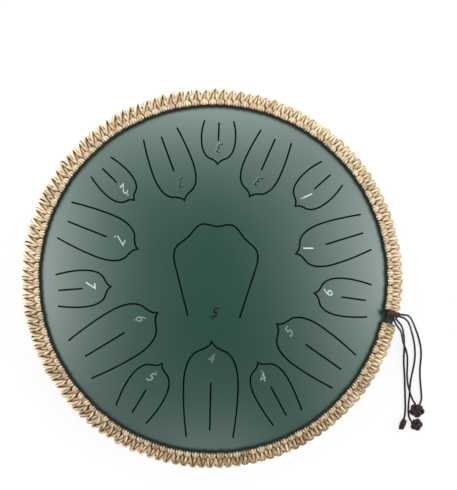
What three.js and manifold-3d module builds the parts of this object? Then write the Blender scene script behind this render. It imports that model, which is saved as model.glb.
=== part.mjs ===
// A steel tongue drum: two pressed shells that meet at a flange with a rubber edge trim, fifteen tongues
// cut in the upper shell, four screwed rubber feet, and a knotted jute band round the rim that two core
// cords draw tight through a sliding knot, from which four cord tails fall to the floor.
// Millimetres, +Z up. The origin is on the floor under the middle of the drum. +Y points away from the
// player, who sits at the side of the longest tongue.
import * as THREE from "three";
import { mergeVertices } from "three/addons/utils/BufferGeometryUtils.js";
import Module from "manifold-3d";

const wasm = await Module();
wasm.setup();

// Clearance between pieces that touch on the real drum
const FIT = 0.3;

// Shells
const WALL = 2;
const RIM_RADIUS = 168;
const KNUCKLE_RADIUS = 120;
const CROWN_SLOPE = 34.8;
const DOME_SLOPE = 38;
const FLANGE_REACH = 10;
const FLANGE_FILLET = 3;
const BOWL_SLOPE = 72;
const BASE_RADIUS = 84;
const BASE_KNUCKLE_RADIUS = 70;
const BASE_KNUCKLE_TURN = 50;
const SOUND_HOLE_RADIUS = 32;

// Tongues: the roots lie on one circle inside the rim, and every tip is the same ogee, scaled to the belly
const ROOT_INSET = 14.5;
const SLOT_WIDTH = 1.4;
const SLOT_TIP_REACH = 1.2;
const ROOT_TO_BELLY = 0.855;
const RING_TONGUES = [
  { name: "tongue_high_3", bearing: 87.9, length: 41.6, belly: 31.8, slitStart: 1, slit: 18 },
  { name: "tongue_mid_2", bearing: 110.1, length: 72.1, belly: 39.2, slitStart: 6, slit: 36.2 },
  { name: "tongue_high_2", bearing: 135.1, length: 44.5, belly: 30.3, slitStart: 1, slit: 20 },
  { name: "tongue_low_7", bearing: 158.4, length: 74.3, belly: 42.2, slitStart: 1, slit: 41 },
  { name: "tongue_mid_7", bearing: 184.2, length: 53.4, belly: 34.4, slitStart: 2.2, slit: 24 },
  { name: "tongue_low_6", bearing: 211.1, length: 90, belly: 48.8, slitStart: 7.8, slit: 45 },
  { name: "tongue_high_5", bearing: 238.7, length: 57.1, belly: 38.4, slitStart: 1, slit: 26.8 },
  { name: "tongue_mid_4", bearing: 268.6, length: 92.6, belly: 51.7, slitStart: 5.8, slit: 46.7 },
  { name: "tongue_high_4", bearing: 298.1, length: 61.4, belly: 35.3, slitStart: 2.8, slit: 32.4 },
  { name: "tongue_mid_5", bearing: 324.7, length: 77.7, belly: 44.5, slitStart: 1, slit: 43 },
  { name: "tongue_mid_6", bearing: 352, length: 54.1, belly: 35.4, slitStart: 3.8, slit: 24.2 },
  { name: "tongue_mid_1", bearing: 17.1, length: 69.4, belly: 40.2, slitStart: 1, slit: 38.5 },
  { name: "tongue_high_1", bearing: 41.7, length: 46.7, belly: 34.5, slitStart: 1, slit: 21 },
  { name: "tongue_mid_3", bearing: 66.2, length: 65.6, belly: 36.3, slitStart: 4.5, slit: 33.7 },
];
const CENTRE_BEARING = 88;
const CENTRE_SIDESTEP = 1.7;
const CENTRE_ROOT_OFFSET = 39;
const CENTRE_ROOT_WIDTH = 49;
const CENTRE_BELLY = 80;
const CENTRE_LENGTH = 91.5;
const CENTRE_DIP = 2;

// Feet and their fasteners
const FOOT_COUNT = 4;
const FOOT_CIRCLE_RADIUS = 64;
const FOOT_HEIGHT = 12;
const FOOT_TOP_RADIUS = 13;
const FOOT_TOE_RADIUS = 10.5;
const FOOT_TOE_ROUND = 1.5;
const FOOT_RECESS = 6;
const SCREW_RADIUS = 2;
const SCREW_HEAD_RADIUS = 3.8;
const SCREW_HEAD_HEIGHT = 2.6;
const SCREW_TIP = 1.5;
const WASHER_RADIUS = 5;
const WASHER_THICKNESS = 0.8;
const NUT_FLATS = 7;
const NUT_HEIGHT = 3.2;

// Rubber trim that grips the edge of the flange
const TRIM_WALL = 1.6;
const TRIM_LIP = 5.2;
const TRIM_BEVEL = 0.8;

// Band, core cords and sliding knot
const CORD_DIAMETER = 2;
const BAND_THICKNESS = 16;
const BAND_HEIGHT = 16;
const BAND_SQUARENESS = 2.5;
const BAND_GAP_FROM = -15.2;
const BAND_GAP_TO = -10;
const KNOT_RADIUS = 3;
const KNOT_WRAPS = 6;
const KNOT_ENTRY_GAP = 1.2;

// Cord tails, each a route chosen by hand from the sliding knot to its end knot on the floor
const TAIL_ROUTES = {
  tail_cord_1: [
    [181.9, -34.6, 103.9],
    [185.4, -35.0, 103.4],
    [188.6, -35.4, 99.4],
    [191.0, -36.8, 90.0],
    [192.8, -38.8, 75.0],
    [194.2, -41.0, 56.0],
    [195.6, -43.4, 36.0],
    [197.0, -46.4, 18.0],
    [198.6, -50.2, 7.2],
    [200.4, -55.0, 2.4],
    [202.0, -60.6, 1.2],
    [203.4, -67.4, 1.2],
    [203.8, -74.6, 1.2],
    [203.2, -82.2, 1.2],
    [202.6, -90.0, 1.2],
    [202.8, -98.0, 1.2],
    [203.4, -106.0, 1.2],
    [204.0, -112.8, 1.2],
    [204.0, -118.4, 1.6],
    [202.6, -123.2, 2.8],
  ],
  tail_cord_2: [
    [181.5, -36.7, 103.3],
    [185.0, -37.8, 102.4],
    [187.4, -39.4, 97.8],
    [189.2, -41.2, 88.0],
    [190.6, -43.2, 73.0],
    [191.8, -45.4, 54.0],
    [192.8, -47.8, 34.0],
    [193.8, -50.6, 16.4],
    [195.0, -54.4, 6.2],
    [196.2, -59.2, 2.2],
    [197.2, -64.6, 1.2],
    [197.8, -71.4, 1.2],
    [197.6, -78.4, 1.2],
    [196.6, -85.6, 1.2],
    [195.0, -92.8, 1.2],
    [193.6, -100.0, 1.2],
    [192.8, -107.2, 1.2],
    [192.4, -114.6, 1.2],
    [191.6, -122.0, 1.2],
    [191.2, -129.0, 1.2],
    [191.8, -135.2, 1.4],
    [193.8, -139.8, 2.6],
  ],
  tail_cord_3: [
    [177.9, -38.9, 103.9],
    [179.9, -41.6, 103.5],
    [182.4, -44.6, 99.8],
    [183.9, -47.2, 90.0],
    [184.8, -49.4, 75.0],
    [185.4, -51.4, 57.0],
    [186.0, -53.6, 38.0],
    [186.6, -56.4, 20.0],
    [187.0, -60.0, 8.2],
    [187.2, -64.6, 2.6],
    [187.2, -70.2, 1.2],
    [186.8, -76.6, 1.2],
    [186.8, -83.4, 1.2],
    [187.2, -90.6, 1.2],
    [187.6, -98.0, 1.2],
    [187.8, -105.4, 1.2],
    [188.0, -113.0, 1.2],
    [188.2, -120.6, 1.2],
    [188.2, -127.6, 1.2],
    [187.8, -133.6, 1.6],
    [187.0, -137.4, 2.8],
  ],
  tail_cord_4: [
    [175.4, -38.3, 102.8],
    [177.1, -42.8, 102.4],
    [179.7, -46.8, 101.0],
    [182.0, -50.0, 94.0],
    [183.2, -52.8, 80.0],
    [184.0, -55.4, 61.0],
    [184.8, -58.2, 40.0],
    [185.6, -61.4, 20.0],
    [187.0, -65.2, 8.0],
    [188.8, -69.6, 4.0],
    [190.0, -74.6, 2.0],
    [190.4, -80.6, 1.2],
    [190.2, -87.4, 1.2],
    [190.0, -94.2, 1.2],
    [190.4, -100.8, 1.4],
    [191.4, -106.6, 3.0],
    [192.8, -111.8, 3.8],
    [194.4, -116.4, 3.4],
    [196.2, -120.2, 3.0],
    [198.4, -123.2, 3.0],
  ],
};
const PAIR_KNOT = { size: 3.5, place: [199.6, -129.4], turn: 65 };
const SINGLE_KNOT = { size: 3.1, place: [199.2, -143.2], turn: 150 };
const BARREL_KNOT = { radius: 3.1, wraps: 5, place: [185.7, -142.9], turn: 68 };

// Facets: segments of a full turn, and steps along each arc
const SHELL_SEGMENTS = 36;
const SMALL_SEGMENTS = 12;
const BAND_SIDES = 12;
const CORE_SIDES = 5;
const CORD_SIDES = 8;
const CORD_STEPS = 24;
const OVERHAND_SIDES = 5;
const OVERHAND_STEPS = 30;
const CROWN_STEPS = 5;
const KNUCKLE_STEPS = 1;
const BASE_STEPS = 4;
const BOWL_STEPS = 2;
const FILLET_STEPS = 2;

const FLANGE_RADIUS = RIM_RADIUS + FLANGE_REACH;
const FLANGE_TOP = FIT / 2 + WALL;
const CORD_RADIUS = CORD_DIAMETER / 2;
const TRIM_INSIDE = FLANGE_TOP + FIT;
const TRIM_TOP = TRIM_INSIDE + TRIM_WALL;
const TRIM_BORE = FLANGE_RADIUS + FIT;
const TRIM_RADIUS = TRIM_BORE + TRIM_WALL;
const TRIM_EDGE = FLANGE_RADIUS - TRIM_LIP;
const CORE_CIRCLE = TRIM_EDGE - FIT - CORD_RADIUS;
const CORE_HEIGHT = FLANGE_TOP + FIT + CORD_RADIUS;

const sine = (degrees) => Math.sin(THREE.MathUtils.degToRad(degrees));
const cosine = (degrees) => Math.cos(THREE.MathUtils.degToRad(degrees));
const at = (r, z) => new THREE.Vector2(r, z);

// The two shells are drawn about the seam: its plane is z = 0 and the drum's axis is r = 0.
// The dome is a crown sphere that runs into a knuckle at one slope, and at a steeper one a small fillet
// turns the knuckle out into the flange.
const domeKnuckle = at(
  RIM_RADIUS - KNUCKLE_RADIUS * sine(DOME_SLOPE),
  FLANGE_TOP + FLANGE_FILLET * (1 - cosine(DOME_SLOPE)) - KNUCKLE_RADIUS * cosine(DOME_SLOPE),
);
const CROWN_RADIUS = KNUCKLE_RADIUS + domeKnuckle.x / sine(CROWN_SLOPE);
const crown = at(0, domeKnuckle.y - (CROWN_RADIUS - KNUCKLE_RADIUS) * cosine(CROWN_SLOPE));
const DOME_TOP = crown.y + CROWN_RADIUS;

// The bowl is a flat base, a base knuckle and a side arc that takes up the rest of the way to the rim.
const BOWL_SIDE_RADIUS =
  (RIM_RADIUS - BASE_RADIUS - BASE_KNUCKLE_RADIUS * sine(BASE_KNUCKLE_TURN)) /
  (sine(BOWL_SLOPE) - sine(BASE_KNUCKLE_TURN));
const bowlSide = at(
  RIM_RADIUS - BOWL_SIDE_RADIUS * sine(BOWL_SLOPE),
  BOWL_SIDE_RADIUS * cosine(BOWL_SLOPE) - FLANGE_TOP - FLANGE_FILLET * (1 - cosine(BOWL_SLOPE)),
);
const baseKnuckle = at(
  BASE_RADIUS,
  bowlSide.y - (BOWL_SIDE_RADIUS - BASE_KNUCKLE_RADIUS) * cosine(BASE_KNUCKLE_TURN),
);
const BASE_UNDERSIDE = baseKnuckle.y - BASE_KNUCKLE_RADIUS;
const SEAM_HEIGHT = FOOT_HEIGHT + FIT - BASE_UNDERSIDE;

// Points of an arc about a centre, from one polar angle to another
function arc(centre, radius, from, to, steps) {
  return Array.from({ length: steps + 1 }, (_, i) => {
    const angle = from + ((to - from) * i) / steps;
    return at(centre.x + radius * cosine(angle), centre.y + radius * sine(angle));
  });
}

// One side of the dome's wall, from the top to the flange. depth is how far it lies inside the outer face.
function domeSide(depth) {
  const fillet = at(
    RIM_RADIUS + FLANGE_FILLET * sine(DOME_SLOPE),
    FLANGE_TOP + FLANGE_FILLET,
  );
  return [
    ...arc(crown, CROWN_RADIUS - depth, 90, 90 - CROWN_SLOPE, CROWN_STEPS),
    ...arc(domeKnuckle, KNUCKLE_RADIUS - depth, 90 - CROWN_SLOPE, 90 - DOME_SLOPE, KNUCKLE_STEPS).slice(1),
    ...arc(fillet, FLANGE_FILLET + depth, 270 - DOME_SLOPE, 270, FILLET_STEPS).slice(depth > 0 ? 1 : 0),
  ];
}

// One side of the bowl's wall, from the sound hole to the flange
function bowlWall(depth) {
  const fillet = at(
    RIM_RADIUS + FLANGE_FILLET * sine(BOWL_SLOPE),
    -FLANGE_TOP - FLANGE_FILLET,
  );
  const turn = BASE_KNUCKLE_TURN - 90;
  return [
    at(SOUND_HOLE_RADIUS, BASE_UNDERSIDE + depth),
    ...arc(baseKnuckle, BASE_KNUCKLE_RADIUS - depth, -90, turn, BASE_STEPS),
    ...arc(bowlSide, BOWL_SIDE_RADIUS - depth, turn, BOWL_SLOPE - 90, BOWL_STEPS).slice(1),
    ...arc(fillet, FLANGE_FILLET + depth, 90 + BOWL_SLOPE, 90, FILLET_STEPS).slice(depth > 0 ? 1 : 0),
  ];
}

// Leaves out points that repeat the one before.
function withoutRepeats(points) {
  return points.filter((point, i) => i === 0 || point.distanceTo(points[i - 1]) > 1e-3);
}

// A profile in radius and height, counterclockwise, turned about the Z axis
function revolve(profile, segments) {
  return new THREE.LatheGeometry(withoutRepeats(profile), segments).rotateX(Math.PI / 2);
}

// An upright prism over a plan shape
function prism(shape, bottom, top) {
  const settings = { depth: top - bottom, bevelEnabled: false };
  return new THREE.ExtrudeGeometry(shape, settings).translate(0, 0, bottom);
}

// A round cord along a smooth curve through its points
function cord(points) {
  const section = new THREE.Shape(
    Array.from({ length: CORD_SIDES }, (_, i) => {
      const angle = (360 * i) / CORD_SIDES;
      return at(CORD_RADIUS * cosine(angle), CORD_RADIUS * sine(angle));
    }),
  );
  const path = new THREE.CatmullRomCurve3(points.map((p) => new THREE.Vector3(...p)));
  const settings = { steps: CORD_STEPS, extrudePath: path, bevelEnabled: false };
  return new THREE.ExtrudeGeometry(section, settings);
}

// A closed geometry as a solid that can be cut, and the other way round
function toSolid(geometry) {
  const bare = geometry.clone().deleteAttribute("normal").deleteAttribute("uv");
  const merged = mergeVertices(bare, 1e-4);
  const corners = merged.index.array;
  const triVerts = [];
  for (let i = 0; i < corners.length; i += 3) {
    const [a, b, c] = [corners[i], corners[i + 1], corners[i + 2]];
    if (a !== b && b !== c && c !== a) triVerts.push(a, b, c);
  }
  const mesh = { numProp: 3, vertProperties: merged.attributes.position.array };
  return new wasm.Manifold(new wasm.Mesh({ ...mesh, triVerts: new Uint32Array(triVerts) }));
}

function toGeometry(solid) {
  const mesh = solid.getMesh();
  const geometry = new THREE.BufferGeometry();
  geometry.setAttribute("position", new THREE.BufferAttribute(mesh.vertProperties, 3));
  geometry.setIndex(new THREE.BufferAttribute(mesh.triVerts, 1));
  geometry.computeVertexNormals();
  return geometry;
}

const finish = {
  paint: () => new THREE.MeshStandardMaterial({ color: 0x365c53, roughness: 0.35, metalness: 0.1 }),
  jute: () => new THREE.MeshStandardMaterial({ color: 0xc8aa82, roughness: 0.9, metalness: 0 }),
  waxedCord: () => new THREE.MeshStandardMaterial({ color: 0x3a2826, roughness: 0.6, metalness: 0 }),
  trim: () => new THREE.MeshStandardMaterial({ color: 0x37393a, roughness: 0.7, metalness: 0 }),
  rubber: () => new THREE.MeshStandardMaterial({ color: 0x1c1c1c, roughness: 0.85, metalness: 0 }),
  zinc: () => new THREE.MeshStandardMaterial({ color: 0xb4b6b8, roughness: 0.35, metalness: 1 }),
};

function piece(name, geometry, material) {
  const mesh = new THREE.Mesh(geometry, material);
  mesh.name = name;
  return mesh;
}

// Points along the curves of a path, each curve in its own number of steps
function pointsAlong(path, steps) {
  return withoutRepeats(path.curves.flatMap((curve, i) => curve.getPoints(steps[i])));
}

// Half outlines of the tongues, from the root to the middle of the tip, as half width and height above
// the root. A ring tongue swells from its root to the belly and closes in a pointed ogee.
function ringOutline({ length, belly }) {
  const w = belly / 2;
  const root = w * ROOT_TO_BELLY;
  const bellyHeight = length - 1.69 * w;
  const outline = new THREE.Path();
  outline.moveTo(root, 0);
  outline.bezierCurveTo(
    root + 0.6 * (w - root), 0.35 * bellyHeight,
    w, 0.65 * bellyHeight,
    w, bellyHeight,
  );
  outline.bezierCurveTo(
    w, length - 1.06 * w,
    0.85 * w, length - 0.54 * w,
    0.48 * w, length - 0.37 * w,
  );
  outline.bezierCurveTo(
    0.31 * w, length - 0.32 * w,
    0, length - 0.18 * w,
    0, length,
  );
  return pointsAlong(outline, [2, 4, 3]);
}

// The centre tongue widens to round hips, draws in at its shoulders and ends in two lobes with a dip.
function centreOutline() {
  const w = CENTRE_BELLY / 2;
  const top = CENTRE_LENGTH;
  const outline = new THREE.Path();
  outline.moveTo(CENTRE_ROOT_WIDTH / 2, 0);
  outline.lineTo(0.98 * w, top - 0.94 * w);
  outline.bezierCurveTo(1.03 * w, top - 0.75 * w, w, top - 0.59 * w, 0.89 * w, top - 0.5 * w);
  outline.bezierCurveTo(0.78 * w, top - 0.42 * w, 0.63 * w, top - 0.3 * w, 0.54 * w, top - 0.15 * w);
  outline.bezierCurveTo(0.47 * w, top - 0.06 * w, 0.4 * w, top, 0.3 * w, top);
  outline.bezierCurveTo(0.2 * w, top, 0.11 * w, top - CENTRE_DIP, 0, top - CENTRE_DIP);
  return pointsAlong(outline, [1, 3, 3, 3, 2]);
}

// The left and right halves of an outline as one open line from root to root
function bothSides(half) {
  const left = half.slice(0, -1).map((p) => at(-p.x, p.y));
  return [...half, ...left.reverse()];
}

// An open line moved to its right-hand side by a distance, with its ends kept on the root line and its
// reach past a sharp tip limited
function moveOut(line, distance) {
  return line.map((point, i) => {
    const before = line[Math.max(i - 1, 0)];
    const after = line[Math.min(i + 1, line.length - 1)];
    const first = point.clone().sub(before).normalize();
    const second = after.clone().sub(point).normalize();
    if (i === 0 || i === line.length - 1) {
      return at(point.x + Math.sign(point.x) * distance, point.y);
    }
    const side = first.clone().add(second).normalize();
    const stretch = distance * Math.min(1 / side.dot(first), SLOT_TIP_REACH);
    return at(point.x + side.y * stretch, point.y - side.x * stretch);
  });
}

// Places a tongue's own plan, root at the origin and tip along +Y, on the drum.
function placed(points, { rootX, rootY, turn }) {
  return points.map((p) =>
    at(rootX + p.x * cosine(turn) - p.y * sine(turn), rootY + p.x * sine(turn) + p.y * cosine(turn)),
  );
}

// The slit of a ring tongue, with round ends
function slitOutline({ slitStart, slit }) {
  const radius = SLOT_WIDTH / 2;
  const end = slitStart + slit;
  return [
    ...arc(at(0, slitStart + radius), radius, 180, 360, 2),
    ...arc(at(0, end - radius), radius, 0, 180, 2),
  ];
}

// The plan of a tongue and of the opening it stands in: the slot runs round all but the root, and the
// root keeps the clearance that stands for the unbroken sheet there.
function tonguePlans(half, slit, place) {
  const line = bothSides(half);
  const tongue = new THREE.Shape(placed(line, place));
  if (slit) tongue.holes.push(new THREE.Path(placed(slit, place)));
  const slotMiddle = line[0].x + SLOT_WIDTH / 2;
  const slotEnd = (x) => arc(at(x, -FIT), SLOT_WIDTH / 2, 180, 360, 2);
  const opening = [...moveOut(line, SLOT_WIDTH), ...slotEnd(-slotMiddle), ...slotEnd(slotMiddle)];
  return { tongue, opening: new THREE.Shape(placed(opening, place)) };
}

const ringPlace = (bearing) => {
  const rootRadius = RIM_RADIUS - ROOT_INSET;
  return { rootX: rootRadius * cosine(bearing), rootY: rootRadius * sine(bearing), turn: bearing + 90 };
};
const centrePlace = {
  rootX: CENTRE_SIDESTEP * sine(CENTRE_BEARING) - CENTRE_ROOT_OFFSET * cosine(CENTRE_BEARING),
  rootY: -CENTRE_SIDESTEP * cosine(CENTRE_BEARING) - CENTRE_ROOT_OFFSET * sine(CENTRE_BEARING),
  turn: CENTRE_BEARING - 90,
};

// The upper shell and its tongues are cut from one dome, so their faces run on across the slots.
function domePieces() {
  const profile = [...domeSide(WALL), at(FLANGE_RADIUS, FIT / 2), at(FLANGE_RADIUS, FLANGE_TOP)];
  const dome = toSolid(revolve([...profile, ...domeSide(0).reverse()], SHELL_SEGMENTS));
  const plans = RING_TONGUES.map((note) => ({
    name: note.name,
    ...tonguePlans(ringOutline(note), slitOutline(note), ringPlace(note.bearing)),
  }));
  plans.push({ name: "tongue_low_5", ...tonguePlans(centreOutline(), null, centrePlace) });
  const upright = (shape) => toSolid(prism(shape, 0, DOME_TOP + WALL));
  let shell = dome;
  const pieces = plans.map(({ name, tongue, opening }) => {
    shell = shell.subtract(upright(opening));
    return piece(name, toGeometry(dome.intersect(upright(tongue))), finish.paint());
  });
  return [piece("top_shell", toGeometry(shell), finish.paint()), ...pieces];
}

const footBearing = (i) => 45 + (360 * i) / FOOT_COUNT;

function bottomShell() {
  const profile = [...bowlWall(0), at(FLANGE_RADIUS, -FLANGE_TOP), at(FLANGE_RADIUS, -FIT / 2)];
  profile.push(...bowlWall(WALL).reverse(), at(SOUND_HOLE_RADIUS, BASE_UNDERSIDE));
  let bowl = toSolid(revolve(profile, SHELL_SEGMENTS));
  const hole = new THREE.CylinderGeometry(SCREW_RADIUS + FIT, SCREW_RADIUS + FIT, 4 * WALL, SMALL_SEGMENTS);
  hole.rotateX(Math.PI / 2);
  for (let i = 0; i < FOOT_COUNT; i++) {
    const x = FOOT_CIRCLE_RADIUS * cosine(footBearing(i));
    const y = FOOT_CIRCLE_RADIUS * sine(footBearing(i));
    bowl = bowl.subtract(toSolid(hole.clone().translate(x, y, BASE_UNDERSIDE)));
  }
  return piece("bottom_shell", toGeometry(bowl), finish.paint());
}

// A rubber foot: a tapered bumper with a rounded toe and a recess for the screw head
function footGeometry() {
  const bore = SCREW_RADIUS + FIT;
  const recess = WASHER_RADIUS + FIT;
  const toe = at(FOOT_TOE_RADIUS - FOOT_TOE_ROUND, FOOT_TOE_ROUND);
  return revolve(
    [
      at(bore, FOOT_RECESS),
      at(recess, FOOT_RECESS),
      at(recess, 0),
      ...arc(toe, FOOT_TOE_ROUND, -90, 0, 2),
      at(FOOT_TOP_RADIUS, FOOT_HEIGHT),
      at(bore, FOOT_HEIGHT),
      at(bore, FOOT_RECESS),
    ],
    SMALL_SEGMENTS,
  );
}

function ringGeometry(inner, outer, height) {
  const corners = [at(inner, 0), at(outer, 0), at(outer, height), at(inner, height), at(inner, 0)];
  return revolve(corners, SMALL_SEGMENTS);
}

// A pan-head screw standing on its head, with the seat of the head at z = 0
function screwGeometry(length) {
  const edge = 0.6 * SCREW_HEAD_HEIGHT;
  return revolve(
    [
      at(0, -SCREW_HEAD_HEIGHT),
      at(0.6 * SCREW_HEAD_RADIUS, -SCREW_HEAD_HEIGHT),
      at(SCREW_HEAD_RADIUS, -SCREW_HEAD_HEIGHT + edge),
      at(SCREW_HEAD_RADIUS, 0),
      at(SCREW_RADIUS, 0),
      at(SCREW_RADIUS, length),
      at(0, length),
    ],
    SMALL_SEGMENTS,
  );
}

function nutGeometry() {
  const corner = NUT_FLATS / 2 / cosine(30);
  const hexagon = new THREE.Shape(arc(at(0, 0), corner, 0, 300, 5));
  hexagon.holes.push(new THREE.Path(arc(at(0, 0), SCREW_RADIUS + FIT, 0, 315, 7)));
  return prism(hexagon, 0, NUT_HEIGHT);
}

// Each foot stack is built over the foot's own axis, from the floor up to the nut inside the bowl.
function footStack(i) {
  const stack = new THREE.Group();
  const n = i + 1;
  const washerFloor = FOOT_RECESS - FIT - WASHER_THICKNESS;
  const headSeat = washerFloor - FIT;
  const nutFloor = FOOT_HEIGHT + FIT + WALL + FIT;
  const screwLength = nutFloor + NUT_HEIGHT + SCREW_TIP - headSeat;
  const washerRing = ringGeometry(SCREW_RADIUS + FIT, WASHER_RADIUS, WASHER_THICKNESS);
  const washer = piece(`foot_washer_${n}`, washerRing, finish.zinc());
  const screw = piece(`foot_screw_${n}`, screwGeometry(screwLength), finish.zinc());
  const nut = piece(`foot_nut_${n}`, nutGeometry(), finish.zinc());
  washer.position.z = washerFloor;
  screw.position.z = headSeat;
  nut.position.z = nutFloor;
  stack.add(piece(`foot_${n}`, footGeometry(), finish.rubber()), washer, screw, nut);
  const bearing = footBearing(i);
  stack.position.set(FOOT_CIRCLE_RADIUS * cosine(bearing), FOOT_CIRCLE_RADIUS * sine(bearing), 0);
  stack.rotation.z = THREE.MathUtils.degToRad(bearing);
  return stack;
}

// A sector of the plan between two bearings, tall enough to cut the band
function sector(from, to) {
  const far = (bearing) => at(cosine(bearing), sine(bearing)).multiplyScalar(2 * FLANGE_RADIUS);
  const plan = new THREE.Shape([at(0, 0), far(from), far(to)]);
  return toSolid(prism(plan, -BAND_HEIGHT, BAND_HEIGHT));
}

// The trim is a rubber channel pressed over the edges of both flanges.
function edgeTrim() {
  const profile = [
    at(TRIM_EDGE, -TRIM_TOP),
    at(TRIM_RADIUS - TRIM_BEVEL, -TRIM_TOP),
    at(TRIM_RADIUS, TRIM_BEVEL - TRIM_TOP),
    at(TRIM_RADIUS, TRIM_TOP - TRIM_BEVEL),
    at(TRIM_RADIUS - TRIM_BEVEL, TRIM_TOP),
    at(TRIM_EDGE, TRIM_TOP),
    at(TRIM_EDGE, TRIM_INSIDE),
    at(TRIM_BORE, TRIM_INSIDE),
    at(TRIM_BORE, -TRIM_INSIDE),
    at(TRIM_EDGE, -TRIM_INSIDE),
    at(TRIM_EDGE, -TRIM_TOP),
  ];
  return piece("edge_trim", revolve(profile, SHELL_SEGMENTS), finish.trim());
}

// The band is a soft roll round the rim, grooved inside for the trimmed flange and the core cords.
function band() {
  const middle = RIM_RADIUS + FIT + BAND_THICKNESS / 2;
  const bulge = (value, half) => Math.sign(value) * Math.abs(value) ** (2 / BAND_SQUARENESS) * half;
  const roll = Array.from({ length: BAND_SIDES + 1 }, (_, i) => {
    const angle = (360 * i) / BAND_SIDES;
    return at(middle + bulge(cosine(angle), BAND_THICKNESS / 2), bulge(sine(angle), BAND_HEIGHT / 2));
  });
  const grooveHalf = Math.max(TRIM_TOP, CORE_HEIGHT + CORD_RADIUS) + FIT;
  const grooveRadius = TRIM_RADIUS + FIT;
  const groove = [
    at(RIM_RADIUS - WALL, -grooveHalf),
    at(grooveRadius, -grooveHalf),
    at(grooveRadius, grooveHalf),
    at(RIM_RADIUS - WALL, grooveHalf),
    at(RIM_RADIUS - WALL, -grooveHalf),
  ];
  const solid = toSolid(revolve(roll, SHELL_SEGMENTS))
    .subtract(toSolid(revolve(groove, SHELL_SEGMENTS)))
    .subtract(sector(BAND_GAP_FROM, BAND_GAP_TO));
  return piece("jute_band", toGeometry(solid), finish.jute());
}

// The sliding knot: wraps of cord side by side on a radial axis, on the trim against one end of the band
const KNOT_INNER_END = CORE_CIRCLE + CORD_RADIUS + FIT;
const KNOT_CIRCLE = KNOT_INNER_END + (KNOT_WRAPS * CORD_DIAMETER) / 2;
const KNOT_HEIGHT = TRIM_TOP + FIT + KNOT_RADIUS;
const degreesAlong = (length, radius) => THREE.MathUtils.radToDeg(length / radius);
const KNOT_BEARING = BAND_GAP_TO - degreesAlong(FIT + KNOT_RADIUS, KNOT_INNER_END);

// Wraps of cord round an axis along Y, centred on the origin, with flat ends
function wrapsGeometry(radius, wraps) {
  const core = radius - CORD_RADIUS;
  const half = (wraps * CORD_DIAMETER) / 2;
  const profile = [at(0, -half), at(core, -half)];
  for (let i = 0; i < wraps; i++) {
    const centre = at(core, -half + CORD_RADIUS + i * CORD_DIAMETER);
    profile.push(...arc(centre, CORD_RADIUS, -60, 60, 2));
  }
  profile.push(at(core, half), at(0, half));
  return new THREE.LatheGeometry(withoutRepeats(profile), SMALL_SEGMENTS);
}

function slidingKnot() {
  const knot = piece("sliding_knot", wrapsGeometry(KNOT_RADIUS, KNOT_WRAPS), finish.waxedCord());
  knot.position.set(KNOT_CIRCLE * cosine(KNOT_BEARING), KNOT_CIRCLE * sine(KNOT_BEARING), KNOT_HEIGHT);
  knot.rotation.z = THREE.MathUtils.degToRad(KNOT_BEARING - 90);
  return knot;
}

// The core cords lie above and below the flange, inside the lips of the trim, and part at the sliding knot.
function coreCord(name, height) {
  const section = arc(at(CORE_CIRCLE, height), CORD_RADIUS, 0, 360, CORE_SIDES);
  const ring = toSolid(revolve(section, SHELL_SEGMENTS));
  const halfCut = degreesAlong(KNOT_ENTRY_GAP / 2, CORE_CIRCLE);
  const solid = ring.subtract(sector(KNOT_BEARING - halfCut, KNOT_BEARING + halfCut));
  return piece(name, toGeometry(solid), finish.waxedCord());
}

function tailCord(name) {
  return piece(name, cord(TAIL_ROUTES[name]), finish.waxedCord());
}

// An overhand knot drawn tight, lying on the floor
function overhandKnot(name, { size, place, turn }) {
  const geometry = new THREE.TorusKnotGeometry(size, CORD_RADIUS, OVERHAND_STEPS, OVERHAND_SIDES, 2, 3);
  const knot = piece(name, geometry, finish.waxedCord());
  knot.position.set(place[0], place[1], size / 2 + CORD_RADIUS + FIT);
  knot.rotation.z = THREE.MathUtils.degToRad(turn);
  return knot;
}

function barrelKnot(name, { radius, wraps, place, turn }) {
  const knot = piece(name, wrapsGeometry(radius, wraps), finish.waxedCord());
  knot.position.set(place[0], place[1], radius + FIT);
  knot.rotation.z = THREE.MathUtils.degToRad(turn - 90);
  return knot;
}

const tongueDrum = new THREE.Group();

const body = new THREE.Group();
body.position.z = SEAM_HEIGHT;
body.add(...domePieces(), bottomShell());
body.add(edgeTrim(), band(), slidingKnot());
body.add(coreCord("core_cord_upper", CORE_HEIGHT), coreCord("core_cord_lower", -CORE_HEIGHT));
tongueDrum.add(body);

for (let i = 0; i < FOOT_COUNT; i++) tongueDrum.add(footStack(i));

tongueDrum.add(...Object.keys(TAIL_ROUTES).map(tailCord));
tongueDrum.add(
  overhandKnot("end_knot_pair", PAIR_KNOT),
  overhandKnot("end_knot_single", SINGLE_KNOT),
  barrelKnot("end_knot_barrel", BARREL_KNOT),
);

export default tongueDrum;
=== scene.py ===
import math
import random

import bmesh
import bpy
import numpy as np
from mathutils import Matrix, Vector
from mathutils.geometry import delaunay_2d_cdt
from mathutils.kdtree import KDTree


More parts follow.
